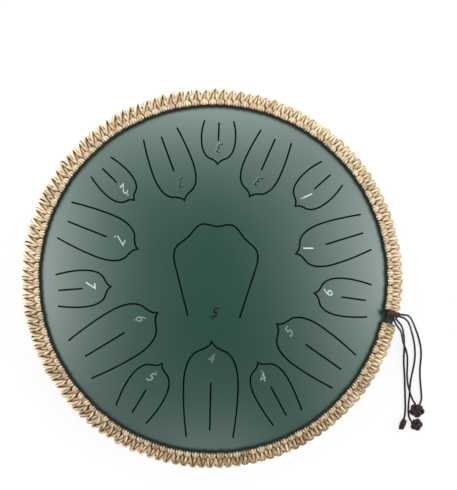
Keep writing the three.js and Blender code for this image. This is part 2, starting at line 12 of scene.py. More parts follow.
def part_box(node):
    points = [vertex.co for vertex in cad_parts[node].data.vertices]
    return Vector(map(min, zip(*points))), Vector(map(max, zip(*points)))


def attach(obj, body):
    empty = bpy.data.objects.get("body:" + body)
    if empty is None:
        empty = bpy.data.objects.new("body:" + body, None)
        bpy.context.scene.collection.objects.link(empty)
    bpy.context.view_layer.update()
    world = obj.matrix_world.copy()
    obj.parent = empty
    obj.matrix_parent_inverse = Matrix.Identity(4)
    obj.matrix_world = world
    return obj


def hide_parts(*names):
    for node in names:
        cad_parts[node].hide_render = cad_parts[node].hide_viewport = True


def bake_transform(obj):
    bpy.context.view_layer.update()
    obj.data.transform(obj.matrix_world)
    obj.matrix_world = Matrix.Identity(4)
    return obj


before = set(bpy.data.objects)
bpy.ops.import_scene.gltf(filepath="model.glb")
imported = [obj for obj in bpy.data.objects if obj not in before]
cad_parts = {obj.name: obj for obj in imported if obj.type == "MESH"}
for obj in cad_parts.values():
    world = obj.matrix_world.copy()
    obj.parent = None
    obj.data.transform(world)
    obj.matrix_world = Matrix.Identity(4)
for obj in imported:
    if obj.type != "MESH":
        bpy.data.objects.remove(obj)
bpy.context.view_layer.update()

# Sizes are in millimetres, heights in the rim part are above the seam of the two shells.
MM = 0.001
DRUM = "drum"

# Shells
WALL = 2.0
RIM_RADIUS = 168.0
KNUCKLE_RADIUS = 120.0
CROWN_SLOPE = math.radians(34.8)
DOME_SLOPE = math.radians(38)
FLANGE_RADIUS = 178.0
FLANGE_FILLET = 3.0
SEAM_GAP = 0.3
FLANGE_TOP = SEAM_GAP / 2 + WALL
BOWL_SLOPE = math.radians(72)
BASE_RADIUS = 84.0
BASE_KNUCKLE_RADIUS = 70.0
BASE_KNUCKLE_TURN = math.radians(50)
SOUND_HOLE_RADIUS = 32.0
SOUND_HOLE_CHAMFER = 0.4
BASE_UNDERSIDE = 1000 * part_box("bottom_shell")[0].z
SHELL_SEGMENTS = 240
DOME_SEGMENTS = 360

# The dome is filled in plan out to this circle, and rings of points lead on from it to the flange.
PLAN_EDGE = 164.0

# Tongues
ROOT_RADIUS = 153.5
SLOT_WIDTH = 1.4
SLOT_TIP_REACH = 1.2
ROOT_TO_BELLY = 0.855
EDGE_WIDTH = 0.15
EDGE_DROP = 0.1
BEND_SHARE = 0.3
SHEET_GRID = 4.0
SHEET_ROW = 0.866 * SHEET_GRID
SHEET_CLEARANCE = 0.55 * SHEET_GRID
SLOT_END_POINTS = 9
SLIT_STEP = 3.0
ROOT_HALF_STEP = 1.5
RING_TONGUES = [
    dict(name="high_3", bearing=87.9, length=41.6, belly=31.8, start=0, slit_start=1, slit=18),
    dict(name="mid_2", bearing=110.1, length=72.1, belly=39.2, start=3.6, slit_start=6, slit=36.2),
    dict(name="high_2", bearing=135.1, length=44.5, belly=30.3, start=-0.6, slit_start=1, slit=20),
    dict(name="low_7", bearing=158.4, length=74.3, belly=42.2, start=-1.9, slit_start=1, slit=41),
    dict(name="mid_7", bearing=184.2, length=53.4, belly=34.4, start=1.2, slit_start=2.2, slit=24),
    dict(name="low_6", bearing=211.1, length=90, belly=48.8, start=2.4, slit_start=7.8, slit=45),
    dict(name="high_5", bearing=238.7, length=57.1, belly=38.4, start=-0.4, slit_start=1, slit=26.8),
    dict(name="mid_4", bearing=268.6, length=92.6, belly=51.7, start=0, slit_start=5.8, slit=46.7),
    dict(name="high_4", bearing=298.1, length=61.4, belly=35.3, start=1, slit_start=2.8, slit=32.4),
    dict(name="mid_5", bearing=324.7, length=77.7, belly=44.5, start=-2, slit_start=1, slit=43),
    dict(name="mid_6", bearing=352, length=54.1, belly=35.4, start=0.8, slit_start=3.8, slit=24.2),
    dict(name="mid_1", bearing=17.1, length=69.4, belly=40.2, start=-1.5, slit_start=1, slit=38.5),
    dict(name="high_1", bearing=41.7, length=46.7, belly=34.5, start=-0.8, slit_start=1, slit=21),
    dict(name="mid_3", bearing=66.2, length=65.6, belly=36.3, start=2.5, slit_start=4.5, slit=33.7),
]
CENTRE_NAME = "low_5"
CENTRE_BEARING = 88
CENTRE_SIDESTEP = 1.7
CENTRE_ROOT_OFFSET = 36.2
CENTRE_ROOT_WIDTH = 49.0
CENTRE_BELLY = 80.0
CENTRE_LENGTH = 88.7
CENTRE_DIP = 2.0

# Digits: bright ones and dark ones, their brightness painted reflection, the dark ones with a painted glint
# along one side
DIGIT_HEIGHT = 9.4
DIGIT_SLANT = 0.3
DIGIT_PROUD = 0.12
DIGIT_SUNK = 0.4
DOT_RADIUS = 0.75
DOT_OFFSET = 6.2
DOT_SEGMENTS = 14
DARK_PAINTED_REFLECTION = 0.04
PAINTED_GLINT_LEVEL = 0.3
PAINTED_GLINT_SHIFT = (-0.5, 0.45)
PAINTED_GLINT_PROUD = 0.06

# Each figure's painted reflection, and its place: aside of the tongue's middle line and away from its tip
FIGURES = {
    "high_3": (DARK_PAINTED_REFLECTION, -1.4, 15.6),
    "mid_2": (DARK_PAINTED_REFLECTION, -2.7, 17.3),
    "high_2": (0.52, -1.3, 14.0),
    "low_7": (0.60, -1.3, 18.5),
    "mid_7": (0.58, -2.4, 19.2),
    "low_6": (0.54, -3.6, 16.4),
    "high_5": (0.60, -2.2, 16.1),
    "mid_4": (0.60, 0.1, 15.9),
    "high_4": (0.72, -2.8, 14.8),
    "mid_5": (0.46, 1.0, 13.4),
    "mid_6": (0.50, 2.7, 12.7),
    "mid_1": (0.70, 1.5, 12.8),
    "high_1": (0.52, -0.5, 15.4),
    "mid_3": (DARK_PAINTED_REFLECTION, -2.0, 16.5),
    "low_5": (DARK_PAINTED_REFLECTION, 0.7, 84.8),
}

# Feet and their fasteners
FOOT_CIRCLE_RADIUS = 64.0
FOOT_HEIGHT = 12.0
FOOT_TOP_RADIUS = 13.0
FOOT_TOE_RADIUS = 10.5
FOOT_TOE_ROUND = 1.5
FOOT_TOP_ROUND = 0.8
FOOT_FLANK = (0.2, 1.2)
FOOT_RECESS = 6.0
FOOT_RECESS_CHAMFER = 0.3
FOOT_SEGMENTS = 36
SCREW_RADIUS = 2.0
SCREW_HEAD_RADIUS = 3.8
SCREW_HEAD_HEIGHT = 2.6
SCREW_SOCKET_RADIUS = 1.25
SCREW_SOCKET_DEPTH = 1.5
SCREW_SOCKET_BEVEL = (0.15, 0.1)
SCREW_CROWN = (-0.95, -0.12)
SCREW_PAST_NUT = 1.5
THREAD_START = 1.0
THREAD_END = 1.2
THREAD_PITCH = 0.7
THREAD_DEPTH = 0.25
WASHER_RADIUS = 5.0
WASHER_THICKNESS = 0.8
WASHER_BEVEL = (0.15, 0.15)
NUT_FLATS = 7.0
NUT_HEIGHT = 3.2
NUT_BEVEL = (0.4, 0.3)
FIT = 0.3

# Rim: trim, core cords and the sliding knot, the slider
TRIM_WALL = 1.6
TRIM_EDGE = 172.8
TRIM_CORNER = 0.8
TRIM_TOP = FLANGE_TOP + FIT + TRIM_WALL
TRIM_RADIUS = FLANGE_RADIUS + FIT + TRIM_WALL
CORD_RADIUS = 1.0
CORD_SIDES = 10
CORE_CIRCLE = 171.5
CORE_HEIGHT = FLANGE_TOP + FIT + CORD_RADIUS
UPPER_CORD_END = 0.9
LOWER_CORD_END = 0.2
SLIDER_BEARING = -11.09
SLIDER_INNER_END = 172.8
SLIDER_WRAPS = 6
SLIDER_RADIUS = 3.0
SLIDER_HEIGHT = TRIM_TOP + FIT + SLIDER_RADIUS
WRAP_RADIUS = 2.0
WRAP_STEPS = 16
WRAP_CORD_RADIUS = 1.02
STUB_CORD_RADIUS = 0.97
STUB_TUCK = 2.0
STUB_OVERLAP = 0.3
PLUG_RADIUS = 1.5
PLUG_SIDES = 12
PLUG_INSET = 0.6

# Band: a braid of square knots over a roll coloured near-black as painted shade. Angles round its section
# run from 180 degrees at the inner edge over 90 on top to 0 at the outer edge, and depths are below its
# rounded outline.
BAND_MIDDLE = 176.3
BAND_HALF_THICKNESS = 8.0
BAND_HALF_HEIGHT = 7.2
BAND_SQUARENESS = 2.5
BAND_FROM = -10.0
BAND_TO = 345.8
ROLL_DEPTH = 2.7
ROLL_SPREAD = 115
ROLL_POINTS = 41
ROLL_RINGS = 200
ROLL_INSET = 0.2
KNOT_COUNT = 133
KNOT_JITTER = 0.05
STRAND_SIDES = 6
STRAND_POINTS = 9
STRAND_TONES = (0.65, 1.05)

# Bumps on the inner edge: fans of three strands
INNER_EDGE = 180
BUMP_REACH = 88
BUMP_TAPER = 3
BUMP_FOOT = 0.8
BUMP_SPREAD = 2.0
BUMP_DEPTH = 4.2
BUMP_CLIMB = 0.9
BUMP_HEIGHT = 2.8
BUMP_ROUNDING = 0.6
BUMP_PUFF = 0.5
BUMP_LEAN = 1.5
BUMP_STRAND_RADIUS = 0.95
BUMP_STRAND_SWELL = 0.45

# Loops on the outer edge: slack, slanted and open where the band is loose
LOOSE_BEARING = 165.0
LOOP_POINTS = 15
LOOP_ROOT = 97
LOOP_REACH = 88
LOOP_HALF_WIDTH = 3.2
LOOP_NARROWING = 0.2
LOOP_DEPTH = 2.6
LOOP_HEIGHT = 2.3
LOOP_DIP = 1.4
LOOP_PUFF = 0.6
LOOP_SLACK = 4.1
LOOP_SLANT = 3.4
LOOP_SLANT_SPREAD = 1.0
LOOP_STRAND_RADIUS = 1.3
LOOP_STRAND_SWELL = 0.15
UNDER_LEG_DROP = 1.1
LOOP_LEAN = 1.6
LOOP_LEAN_DRIFT = 1.1
LOOP_LEAN_STEP = 0.09
LOOP_LEAN_SPREAD = 0.6
FIRST_LEAN = 1.0
LAST_LEAN = 5.5
FILLING_DEPTH = 3.6
FILLING_HEIGHT = 2.4
FILLING_DROP = 1.7
FILLING_RADIUS = 1.25
FILLING_SWELL = 0.35

# Strands between the knots: over the outer edge, on top, and round the band's two ends
SIDE_EDGE = 44
SIDE_DEPTH = 3.3
SIDE_RISE = 0.5
SIDE_RADIUS = 1.5
SIDE_SHIFT = 0.5
GAP_FROM = 106
GAP_REACH = 66
GAP_SLANT = 1.2
GAP_SHIFT = 0.3
GAP_DEPTH = 2.9
GAP_HEIGHT = 1.7
GAP_PUFF = 0.3
GAP_RADIUS = 1.1
GAP_SWELL = 0.15
END_WRAPS = (1.3, 3.6)
END_WRAP_EDGE = 158
END_WRAP_DEPTH = 2.4
END_WRAP_RADIUS = 1.3

# Cord tails: the routes that the solids follow, from the sliding knot to the end knots
TAIL_ROUTES = {
    "tail_cord_1": [
        (181.9, -34.6, 103.9), (185.4, -35.0, 103.4), (188.6, -35.4, 99.4), (191.0, -36.8, 90.0),
        (192.8, -38.8, 75.0), (194.2, -41.0, 56.0), (195.6, -43.4, 36.0), (197.0, -46.4, 18.0),
        (198.6, -50.2, 7.2), (200.4, -55.0, 2.4), (202.0, -60.6, 1.2), (203.4, -67.4, 1.2),
        (203.8, -74.6, 1.2), (203.2, -82.2, 1.2), (202.6, -90.0, 1.2), (202.8, -98.0, 1.2),
        (203.4, -106.0, 1.2), (204.0, -112.8, 1.2), (204.0, -118.4, 1.6), (202.6, -123.2, 2.8),
    ],
    "tail_cord_2": [
        (181.5, -36.7, 103.3), (185.0, -37.8, 102.4), (187.4, -39.4, 97.8), (189.2, -41.2, 88.0),
        (190.6, -43.2, 73.0), (191.8, -45.4, 54.0), (192.8, -47.8, 34.0), (193.8, -50.6, 16.4),
        (195.0, -54.4, 6.2), (196.2, -59.2, 2.2), (197.2, -64.6, 1.2), (197.8, -71.4, 1.2),
        (197.6, -78.4, 1.2), (196.6, -85.6, 1.2), (195.0, -92.8, 1.2), (193.6, -100.0, 1.2),
        (192.8, -107.2, 1.2), (192.4, -114.6, 1.2), (191.6, -122.0, 1.2), (191.2, -129.0, 1.2),
        (191.8, -135.2, 1.4), (193.8, -139.8, 2.6),
    ],
    "tail_cord_3": [
        (177.9, -38.9, 103.9), (179.9, -41.6, 103.5), (182.4, -44.6, 99.8), (183.9, -47.2, 90.0),
        (184.8, -49.4, 75.0), (185.4, -51.4, 57.0), (186.0, -53.6, 38.0), (186.6, -56.4, 20.0),
        (187.0, -60.0, 8.2), (187.2, -64.6, 2.6), (187.2, -70.2, 1.2), (186.8, -76.6, 1.2),
        (186.8, -83.4, 1.2), (187.2, -90.6, 1.2), (187.6, -98.0, 1.2), (187.8, -105.4, 1.2),
        (188.0, -113.0, 1.2), (188.2, -120.6, 1.2), (188.2, -127.6, 1.2), (187.8, -133.6, 1.6),
        (187.0, -137.4, 2.8),
    ],
    "tail_cord_4": [
        (175.4, -38.3, 102.8), (177.1, -42.8, 102.4), (179.7, -46.8, 101.0), (182.0, -50.0, 94.0),
        (183.2, -52.8, 80.0), (184.0, -55.4, 61.0), (184.8, -58.2, 40.0), (185.6, -61.4, 20.0),
        (187.0, -65.2, 8.0), (188.8, -69.6, 4.0), (190.0, -74.6, 2.0), (190.4, -80.6, 1.2),
        (190.2, -87.4, 1.2), (190.0, -94.2, 1.2), (190.4, -100.8, 1.4), (191.4, -106.6, 3.0),
        (192.8, -111.8, 3.8), (194.4, -116.4, 3.4), (196.2, -120.2, 3.0), (198.4, -123.2, 3.0),
    ],
}

# End knots. Two are lobed, of an outer and an inner loop: lobes, middle radius, swing and height.
TAIL_KNOTS = {"tail_cord_1": "pair", "tail_cord_2": "single", "tail_cord_3": "barrel", "tail_cord_4": "pair"}
LOBED_KNOTS = {
    "pair": dict(
        place=(199.6, -129.4, 3.1), loops=[(5, 4.3, 1.7, 1.6), (3, 2.2, 1.4, 1.7)],
        turn=0.2, stretch=(1.06, 0.95, 1.0), cord_radius=1.42,
    ),
    "single": dict(
        place=(199.2, -143.2, 2.95), loops=[(5, 3.5, 1.5, 1.5), (3, 1.8, 1.2, 1.6)],
        turn=0.5, stretch=(1.0, 1.0, 1.0), cord_radius=1.3,
    ),
}
LOBE_POINTS = 30
LOBE_TUCK = 0.3
HEART_PROFILE = [(0, -1.3), (4.2, -1.2), (5.3, 0), (4.2, 1.2), (0, 1.3)]
HEART_SEGMENTS = 20
BARREL_PLACE = (185.7, -142.9, 3.4)
BARREL_TURN = math.radians(68)
BARREL_WRAPS = 4
BARREL_PITCH = 2.3
BARREL_TAPER = 0.3
BARREL_HALF_LENGTH = 5.0
BARREL_CORD_RADIUS = 1.28
BARREL_PLUG_HALF_LENGTH = 5.4

# Camera: far above the drum, with a long lens, framed as 457 by 490 pixels
SENSOR = 36.0
CAMERA_DISTANCE = 12000.0
CAMERA_ASIDE = (14.7, 33.07)
FRAME_HEIGHT = 477.3

# Light and floor: the world's level, a wide soft lamp above, and a glow that ends under the drum
WORLD_LEVEL = 0.52
LAMP_LEVEL = 2.2
LAMP_WIDTH = math.radians(120)
FLOOR_HALF_WIDTH = 20000.0
FLOOR_DROP = 0.05
FLOOR_GLOW = 0.75
DARK_FLOOR_RADIUS = 60.0


# The dome is a crown sphere that runs into a knuckle; both are drawn about the seam.
KNUCKLE_R = RIM_RADIUS - KNUCKLE_RADIUS * math.sin(DOME_SLOPE)
KNUCKLE_Z = FLANGE_TOP + FLANGE_FILLET * (1 - math.cos(DOME_SLOPE)) - KNUCKLE_RADIUS * math.cos(DOME_SLOPE)
CROWN_RADIUS = KNUCKLE_RADIUS + KNUCKLE_R / math.sin(CROWN_SLOPE)
CROWN_Z = KNUCKLE_Z - (CROWN_RADIUS - KNUCKLE_RADIUS) * math.cos(CROWN_SLOPE)
CROWN_EDGE = CROWN_RADIUS * math.sin(CROWN_SLOPE)

# The bowl is a flat base, a base knuckle and a side arc.
BOWL_SIDE_RADIUS = (RIM_RADIUS - BASE_RADIUS - BASE_KNUCKLE_RADIUS * math.sin(BASE_KNUCKLE_TURN)) / (
    math.sin(BOWL_SLOPE) - math.sin(BASE_KNUCKLE_TURN)
)
BOWL_SIDE_R = RIM_RADIUS - BOWL_SIDE_RADIUS * math.sin(BOWL_SLOPE)
BOWL_SIDE_Z = (
    BOWL_SIDE_RADIUS * math.cos(BOWL_SLOPE) - FLANGE_TOP - FLANGE_FILLET * (1 - math.cos(BOWL_SLOPE))
)
BASE_KNUCKLE_Z = BOWL_SIDE_Z - (BOWL_SIDE_RADIUS - BASE_KNUCKLE_RADIUS) * math.cos(BASE_KNUCKLE_TURN)
SEAM = BASE_UNDERSIDE - (BASE_KNUCKLE_Z - BASE_KNUCKLE_RADIUS)


class Value:
    """A number in a shader. Arithmetic on it adds Math nodes."""

    def __init__(self, tree, socket):
        self.tree = tree
        self.socket = socket

    def math(self, operation, *others):
        """A Math node on this number and others."""
        sockets = dict(enumerate((self, *others)))
        return self.tree.node("ShaderNodeMath", {"operation": operation}, sockets)["Value"]

    def reflected(self, operation, other):
        """A Math node with this number as its second."""
        return self.tree.node("ShaderNodeMath", {"operation": operation}, {0: other, 1: self})["Value"]

    def __add__(self, other):
        return self.math("ADD", other)

    __radd__ = __add__

    def __sub__(self, other):
        return self.math("SUBTRACT", other)

    def __rsub__(self, other):
        return self.reflected("SUBTRACT", other)

    def __mul__(self, other):
        return self.math("MULTIPLY", other)

    __rmul__ = __mul__

    def __truediv__(self, other):
        return self.math("DIVIDE", other)

    def __pow__(self, other):
        return self.math("POWER", other)

    def sine(self):
        return self.math("SINE")

    def at_least(self, other):
        return self.math("MAXIMUM", other)

    def at_most(self, other):
        return self.math("MINIMUM", other)


class Outputs:
    """A node's outputs by name."""

    def __init__(self, tree, node):
        self.tree = tree
        self.node = node

    def __getitem__(self, name):
        return Value(self.tree, self.node.outputs[name])


class Nodes:
    """A node tree with one way of adding nodes: settings first, then socket values or links."""

    def __init__(self, owner):
        owner.use_nodes = True
        self.tree = owner.node_tree
        self.tree.nodes.clear()

    def node(self, kind, settings=None, sockets=None):
        """Adds a node of a kind and gives its outputs."""
        made = self.tree.nodes.new(kind)
        for name, value in (settings or {}).items():
            if name == "stops":
                self.set_stops(made.color_ramp, value)
            else:
                setattr(made, name, value)
        for name, value in (sockets or {}).items():
            if isinstance(value, Value):
                self.tree.links.new(value.socket, made.inputs[name])
            else:
                made.inputs[name].default_value = value
        return Outputs(self, made)

    @staticmethod
    def set_stops(ramp, stops):
        """Gives a colour ramp its stops: positions and colours."""
        while len(ramp.elements) < len(stops):
            ramp.elements.new(1.0)
        for element, (position, colour) in zip(ramp.elements, stops):
            element.position = position
            element.color = (*colour, 1.0)

    def noise(self, where, scale, detail=2.0, roughness=0.5):
        sockets = {"Vector": where, "Scale": scale, "Detail": detail, "Roughness": roughness}
        return self.node("ShaderNodeTexNoise", {}, sockets)["Fac"]

    def colours(self, share, stops):
        return self.node("ShaderNodeValToRGB", {"stops": stops}, {"Fac": share})["Color"]

    def bump(self, height, depth, strength=1.0):
        sockets = {"Height": height, "Distance": depth, "Strength": strength}
        return self.node("ShaderNodeBump", {}, sockets)["Normal"]

    def surface(self, **sockets):
        """Ends a material in one shader; underscores in the sockets' names stand for spaces."""
        named = {name.replace("_", " "): value for name, value in sockets.items()}
        shader = self.node("ShaderNodeBsdfPrincipled", {}, named)["BSDF"]
        self.node("ShaderNodeOutputMaterial", {}, {"Surface": shader})


def new_finish(name):
    """A new material, its nodes and the place of a point on its piece."""
    material = bpy.data.materials.new(name)
    nodes = Nodes(material)
    return material, nodes, nodes.node("ShaderNodeTexCoord")["Object"]


def green_paint():
    """Satin paint over pressed steel: a faint orange peel and slow drifts of tone and gloss."""
    material, nodes, place = new_finish("satin_green_paint")
    drift = nodes.noise(place, scale=14.0, detail=3.0)
    peel = nodes.noise(place, scale=900.0, detail=2.0)
    tone = drift * 0.8 + peel * 0.2
    colour = nodes.colours(tone, [(0.2, (0.0101, 0.0408, 0.0311)), (0.8, (0.012, 0.0464, 0.0354))])
    nodes.surface(
        Base_Color=colour,
        Roughness=0.28 + drift * 0.05,
        Specular_IOR_Level=1.0,
        Specular_Tint=(0.95, 1.0, 0.975, 1.0),
        Normal=nodes.bump(peel, depth=0.00004, strength=0.5),
    )
    return material


def slot_shade():
    """Painted shade for the slots: near-black walls and bevels, standing for the shade inside the slots."""
    material, nodes, place = new_finish("burnt_edge")
    mottle = nodes.noise(place, scale=800.0, detail=3.0, roughness=0.6)
    colour = nodes.colours(mottle, [(0.3, (0.004, 0.005, 0.005)), (0.7, (0.010, 0.012, 0.011))])
    nodes.surface(Base_Color=colour, Roughness=0.7 + mottle * 0.2, Specular_IOR_Level=0.2)
    return material


def strand_place(nodes):
    """How far along its strand and how far round it a point lies, in millimetres and turns."""
    uv = nodes.node("ShaderNodeUVMap", {"uv_map": "strand"})["UV"]
    parts = nodes.node("ShaderNodeSeparateXYZ", {}, {"Vector": uv})
    return parts["X"], parts["Y"]


def twist(along, around, plies, lay):
    """Height of the twisted plies of a strand, from 0 in the grooves to 1 on the plies."""
    wave = (along * (2 * math.pi / lay) + around * (2 * math.pi * plies)).sine()
    return wave * 0.5 + 0.5


def jute():
    """Twisted jute: two plies, loose fibres, strands of differing tone, and painted shade in crevices and to
    the front.
    """
    material, nodes, place = new_finish("knotted_jute")
    along, around = strand_place(nodes)
    plies = twist(along, around, plies=2, lay=6.0)
    where = nodes.node("ShaderNodeCombineXYZ", {}, {"X": along * 0.25, "Y": around * 22.0})["Vector"]
    fibres = nodes.noise(where, scale=1.6, detail=3.0, roughness=0.65)
    # The tone attribute holds each strand's own random tone times its painted shade.
    tone = nodes.node("ShaderNodeAttribute", {"attribute_name": "tone"})["Fac"]
    patches = nodes.noise(place, scale=60.0, detail=2.0)
    # Painted shade: the jute gets darker towards the front, below Y = 0.
    painted_front_shade = nodes.node("ShaderNodeSeparateXYZ", {}, {"Vector": place})["Y"].at_most(0.0)
    # The ply height also darkens the ply grooves: painted shade.
    share = fibres * 0.4 + plies * 0.15 + tone * 0.85 + patches * 0.2 + painted_front_shade * 1.4 - 0.4
    colour = nodes.colours(
        share,
        [
            (0.08, (0.06, 0.035, 0.017)),
            (0.3, (0.27, 0.185, 0.10)),
            (0.55, (0.52, 0.395, 0.245)),
            (0.85, (0.71, 0.58, 0.405)),
            (1.0, (0.84, 0.71, 0.52)),
        ],
    )
    height = plies * 0.7 + fibres * 0.5
    nodes.surface(
        Base_Color=colour,
        Roughness=0.78 + fibres * 0.15,
        Sheen_Weight=0.25,
        Sheen_Roughness=0.5,
        Specular_IOR_Level=0.25,
        Normal=nodes.bump(height, depth=0.0004, strength=0.8),
    )
    return material


def jute_core():
    """Painted shade: the braid's inside, seen between its strands, coloured near-black as the shade there.
    """
    material, nodes, place = new_finish("jute_core")
    fibres = nodes.noise(place, scale=700.0, detail=4.0, roughness=0.7)
    colour = nodes.colours(fibres, [(0.3, (0.009, 0.006, 0.003)), (0.75, (0.032, 0.02, 0.011))])
    nodes.surface(Base_Color=colour, Roughness=0.9 - fibres * 0.1, Normal=nodes.bump(fibres, depth=0.0005))
    return material


def waxed_cord(name, dark, middle, light):
    """Round waxed cord, brown, with a fine twist, lighter scuffs, and painted shade in the grooves between
    its plies.
    """
    material, nodes, place = new_finish(name)
    along, around = strand_place(nodes)
    plies = twist(along, around, plies=3, lay=4.2)
    scuffs = nodes.noise(place, scale=420.0, detail=3.0, roughness=0.6)
    # The ply height darkens the grooves between the plies: painted shade.
    share = plies * 0.45 + scuffs * 0.55
    colour = nodes.colours(share, [(0.2, dark), (0.55, middle), (0.85, light)])
    nodes.surface(
        Base_Color=colour,
        Roughness=0.5 + scuffs * 0.25,
        Specular_IOR_Level=0.3,
        Normal=nodes.bump(plies * 0.8 + scuffs * 0.3, depth=0.0003, strength=0.8),
    )
    return material


def moulded_rubber(name, dark, light):
    """Matt rubber: a fine speckle from the mould and a faint bloom."""
    material, nodes, place = new_finish(name)
    speckle = nodes.noise(place, scale=1500.0, detail=2.0, roughness=0.6)
    bloom = nodes.noise(place, scale=120.0, detail=2.0)
    colour = nodes.colours(bloom * 0.7 + speckle * 0.3, [(0.3, dark), (0.7, light)])
    nodes.surface(
        Base_Color=colour,
        Roughness=0.62 + bloom * 0.2,
        Normal=nodes.bump(speckle, depth=0.00012, strength=0.6),
    )
    return material


def zinc_plate():
    """Zinc-plated steel with a fine spangle."""
    material, nodes, place = new_finish("zinc_plate")
    spangle = nodes.noise(place, scale=500.0, detail=3.0, roughness=0.6)
    colour = nodes.colours(spangle, [(0.3, (0.46, 0.47, 0.48)), (0.7, (0.66, 0.66, 0.65))])
    nodes.surface(
        Base_Color=colour,
        Metallic=1.0,
        Roughness=0.26 + spangle * 0.18,
        Normal=nodes.bump(spangle, depth=0.00005, strength=0.4),
    )
    return material


def etched_silver():
    """The bright metal of the digits, finely etched, its colour scaled by each digit's painted reflection.
    """
    material, nodes, place = new_finish("etched_silver")
    grain = nodes.noise(place, scale=1600.0, detail=2.0, roughness=0.6)
    # The tone attribute holds each digit's painted reflection.
    painted_reflection = nodes.node("ShaderNodeAttribute", {"attribute_name": "tone"})["Fac"]
    colour = nodes.colours(painted_reflection * (0.8 + grain * 0.4), [(0.0, (0.0, 0.0, 0.0)), (1.0, (0.94, 1.0, 0.97))])
    nodes.surface(
        Base_Color=colour,
        Metallic=1.0,
        Roughness=0.34 + grain * 0.16,
        Normal=nodes.bump(grain, depth=0.00004, strength=0.5),
    )
    return material


class Mould:
    """Collects points, faces and strand coordinates of one piece, then makes its mesh."""

    def __init__(self):
        self.points = []
        self.faces = []
        self.places = []
        self.tones = []
        self.edges = []
        self.count = 0

    def add(self, points, faces, places=None, tone=0.5, edge=False):
        """Adds a closed shape, with one tone or one for each point, and flags for its cut edges."""
        points = np.asarray(points, float)
        self.faces.extend([tuple(c + self.count for c in face) for face in faces])
        self.points.append(points)
        self.places.extend(places if places is not None else [(0.0, 0.0)] * sum(map(len, faces)))
        self.tones.extend(np.broadcast_to(tone, len(points)))
        self.edges.extend(np.broadcast_to(edge, len(faces)))
        self.count += len(points)

    def piece(self, name, material, slot, sharp, body=DRUM):
        """Makes the named piece, smooth up to an angle in degrees; it rides on a body if one is given."""
        mesh = bpy.data.meshes.new(name)
        mesh.from_pydata((np.vstack(self.points) * MM).tolist(), [], self.faces)
        layer = mesh.uv_layers.new(name="strand")
        layer.uv.foreach_set("vector", np.asarray(self.places, np.float32).ravel())
        tone = mesh.attributes.new("tone", "FLOAT", "POINT")
        tone.data.foreach_set("value", np.asarray(self.tones, np.float32))
        mesh.polygons.foreach_set("use_smooth", [True] * len(mesh.polygons))
        mesh.set_sharp_from_angle(angle=math.radians(sharp))
        mesh.materials.append(material)
        # Cut edges get the slots' painted shade.
        if any(self.edges):
            mesh.materials.append(SLOT_SHADE)
            mesh.polygons.foreach_set("material_index", np.asarray(self.edges, np.int32))
        made = bpy.data.objects.new(name, mesh)
        bpy.context.scene.collection.objects.link(made)
        if body:
            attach(made, body)
        return made


def one_shape(shape, name, material, slot, sharp):
    """A piece of a single shape."""
    mould = Mould()
    mould.add(*shape)
    return mould.piece(name, material, slot, sharp)


def arc(centre_r, centre_z, radius, start, end, steps):
    """Points of an arc in radius and height, from one angle to another, in radians."""
    angles = [start + (end - start) * i / steps for i in range(steps + 1)]
    return [(centre_r + radius * math.cos(a), centre_z + radius * math.sin(a)) for a in angles]


def revolve(profile, segments, centre=(0.0, 0.0), lift=0.0):
    """A profile turned about an upright axis: closed on itself, or from the axis to the axis."""
    rings, points, faces = [], [], []
    for r, z in profile:
        first = len(points)
        if r < 1e-6:
            points.append((centre[0], centre[1], z + lift))
            rings.append([first] * segments)
            continue
        for i in range(segments):
            a = 2 * math.pi * i / segments
            points.append((centre[0] + r * math.cos(a), centre[1] + r * math.sin(a), z + lift))
        rings.append(list(range(first, first + segments)))
    closed = profile[0][0] > 1e-6
    pairs = list(zip(rings, rings[1:]))
    if closed:
        pairs.append((rings[-1], rings[0]))
    for below, above in pairs:
        for i in range(segments):
            j = (i + 1) % segments
            corners = dict.fromkeys((below[i], below[j], above[j], above[i]))
            if len(corners) > 2:
                faces.append(tuple(corners))
    return points, faces


def frames_along(path):
    """Two directions across a path at each of its points, carried along it without twisting."""
    tangents = np.gradient(path, axis=0)
    tangents /= np.linalg.norm(tangents, axis=1)[:, None]
    start = np.array((0.0, 0.0, 1.0)) if abs(tangents[0][2]) < 0.9 else np.array((1.0, 0.0, 0.0))
    across = np.cross(tangents[0], start)
    sides, ups = [], []
    for tangent in tangents:
        across = across - tangent * (across @ tangent)
        across = across / np.linalg.norm(across)
        sides.append(across)
        ups.append(np.cross(tangent, across))
    return np.array(sides), np.array(ups)


def ring_faces(rings, count):
    """Faces between rings of points along a path, and one over each of its ends."""
    faces = []
    for i in range(rings - 1):
        for j in range(count):
            k = (j + 1) % count
            faces.append((i * count + j, i * count + k, (i + 1) * count + k, (i + 1) * count + j))
    last = (rings - 1) * count
    faces.append(tuple(reversed(range(count))))
    faces.append(tuple(range(last, last + count)))
    return faces


def tube(path, radius, sides):
    """A round strand with closed ends along a path, with its strand coordinates."""
    path = np.asarray(path, float)
    radius = np.broadcast_to(radius, len(path))
    across, up = frames_along(path)
    angles = 2 * np.pi * np.arange(sides) / sides
    ring = np.cos(angles)[None, :, None] * across[:, None] + np.sin(angles)[None, :, None] * up[:, None]
    points = (path[:, None] + ring * radius[:, None, None]).reshape(-1, 3)
    steps = np.linalg.norm(np.diff(path, axis=0), axis=1)
    along = np.concatenate([[0.0], np.cumsum(steps)])
    places = []
    for here, there in zip(along, along[1:]):
        for j in range(sides):
            near, far = j / sides, (j + 1) / sides
            places += [(here, near), (here, far), (there, far), (there, near)]
    places += [(along[0], j / sides) for j in reversed(range(sides))]
    places += [(along[-1], j / sides) for j in range(sides)]
    return points, ring_faces(len(path), sides), places


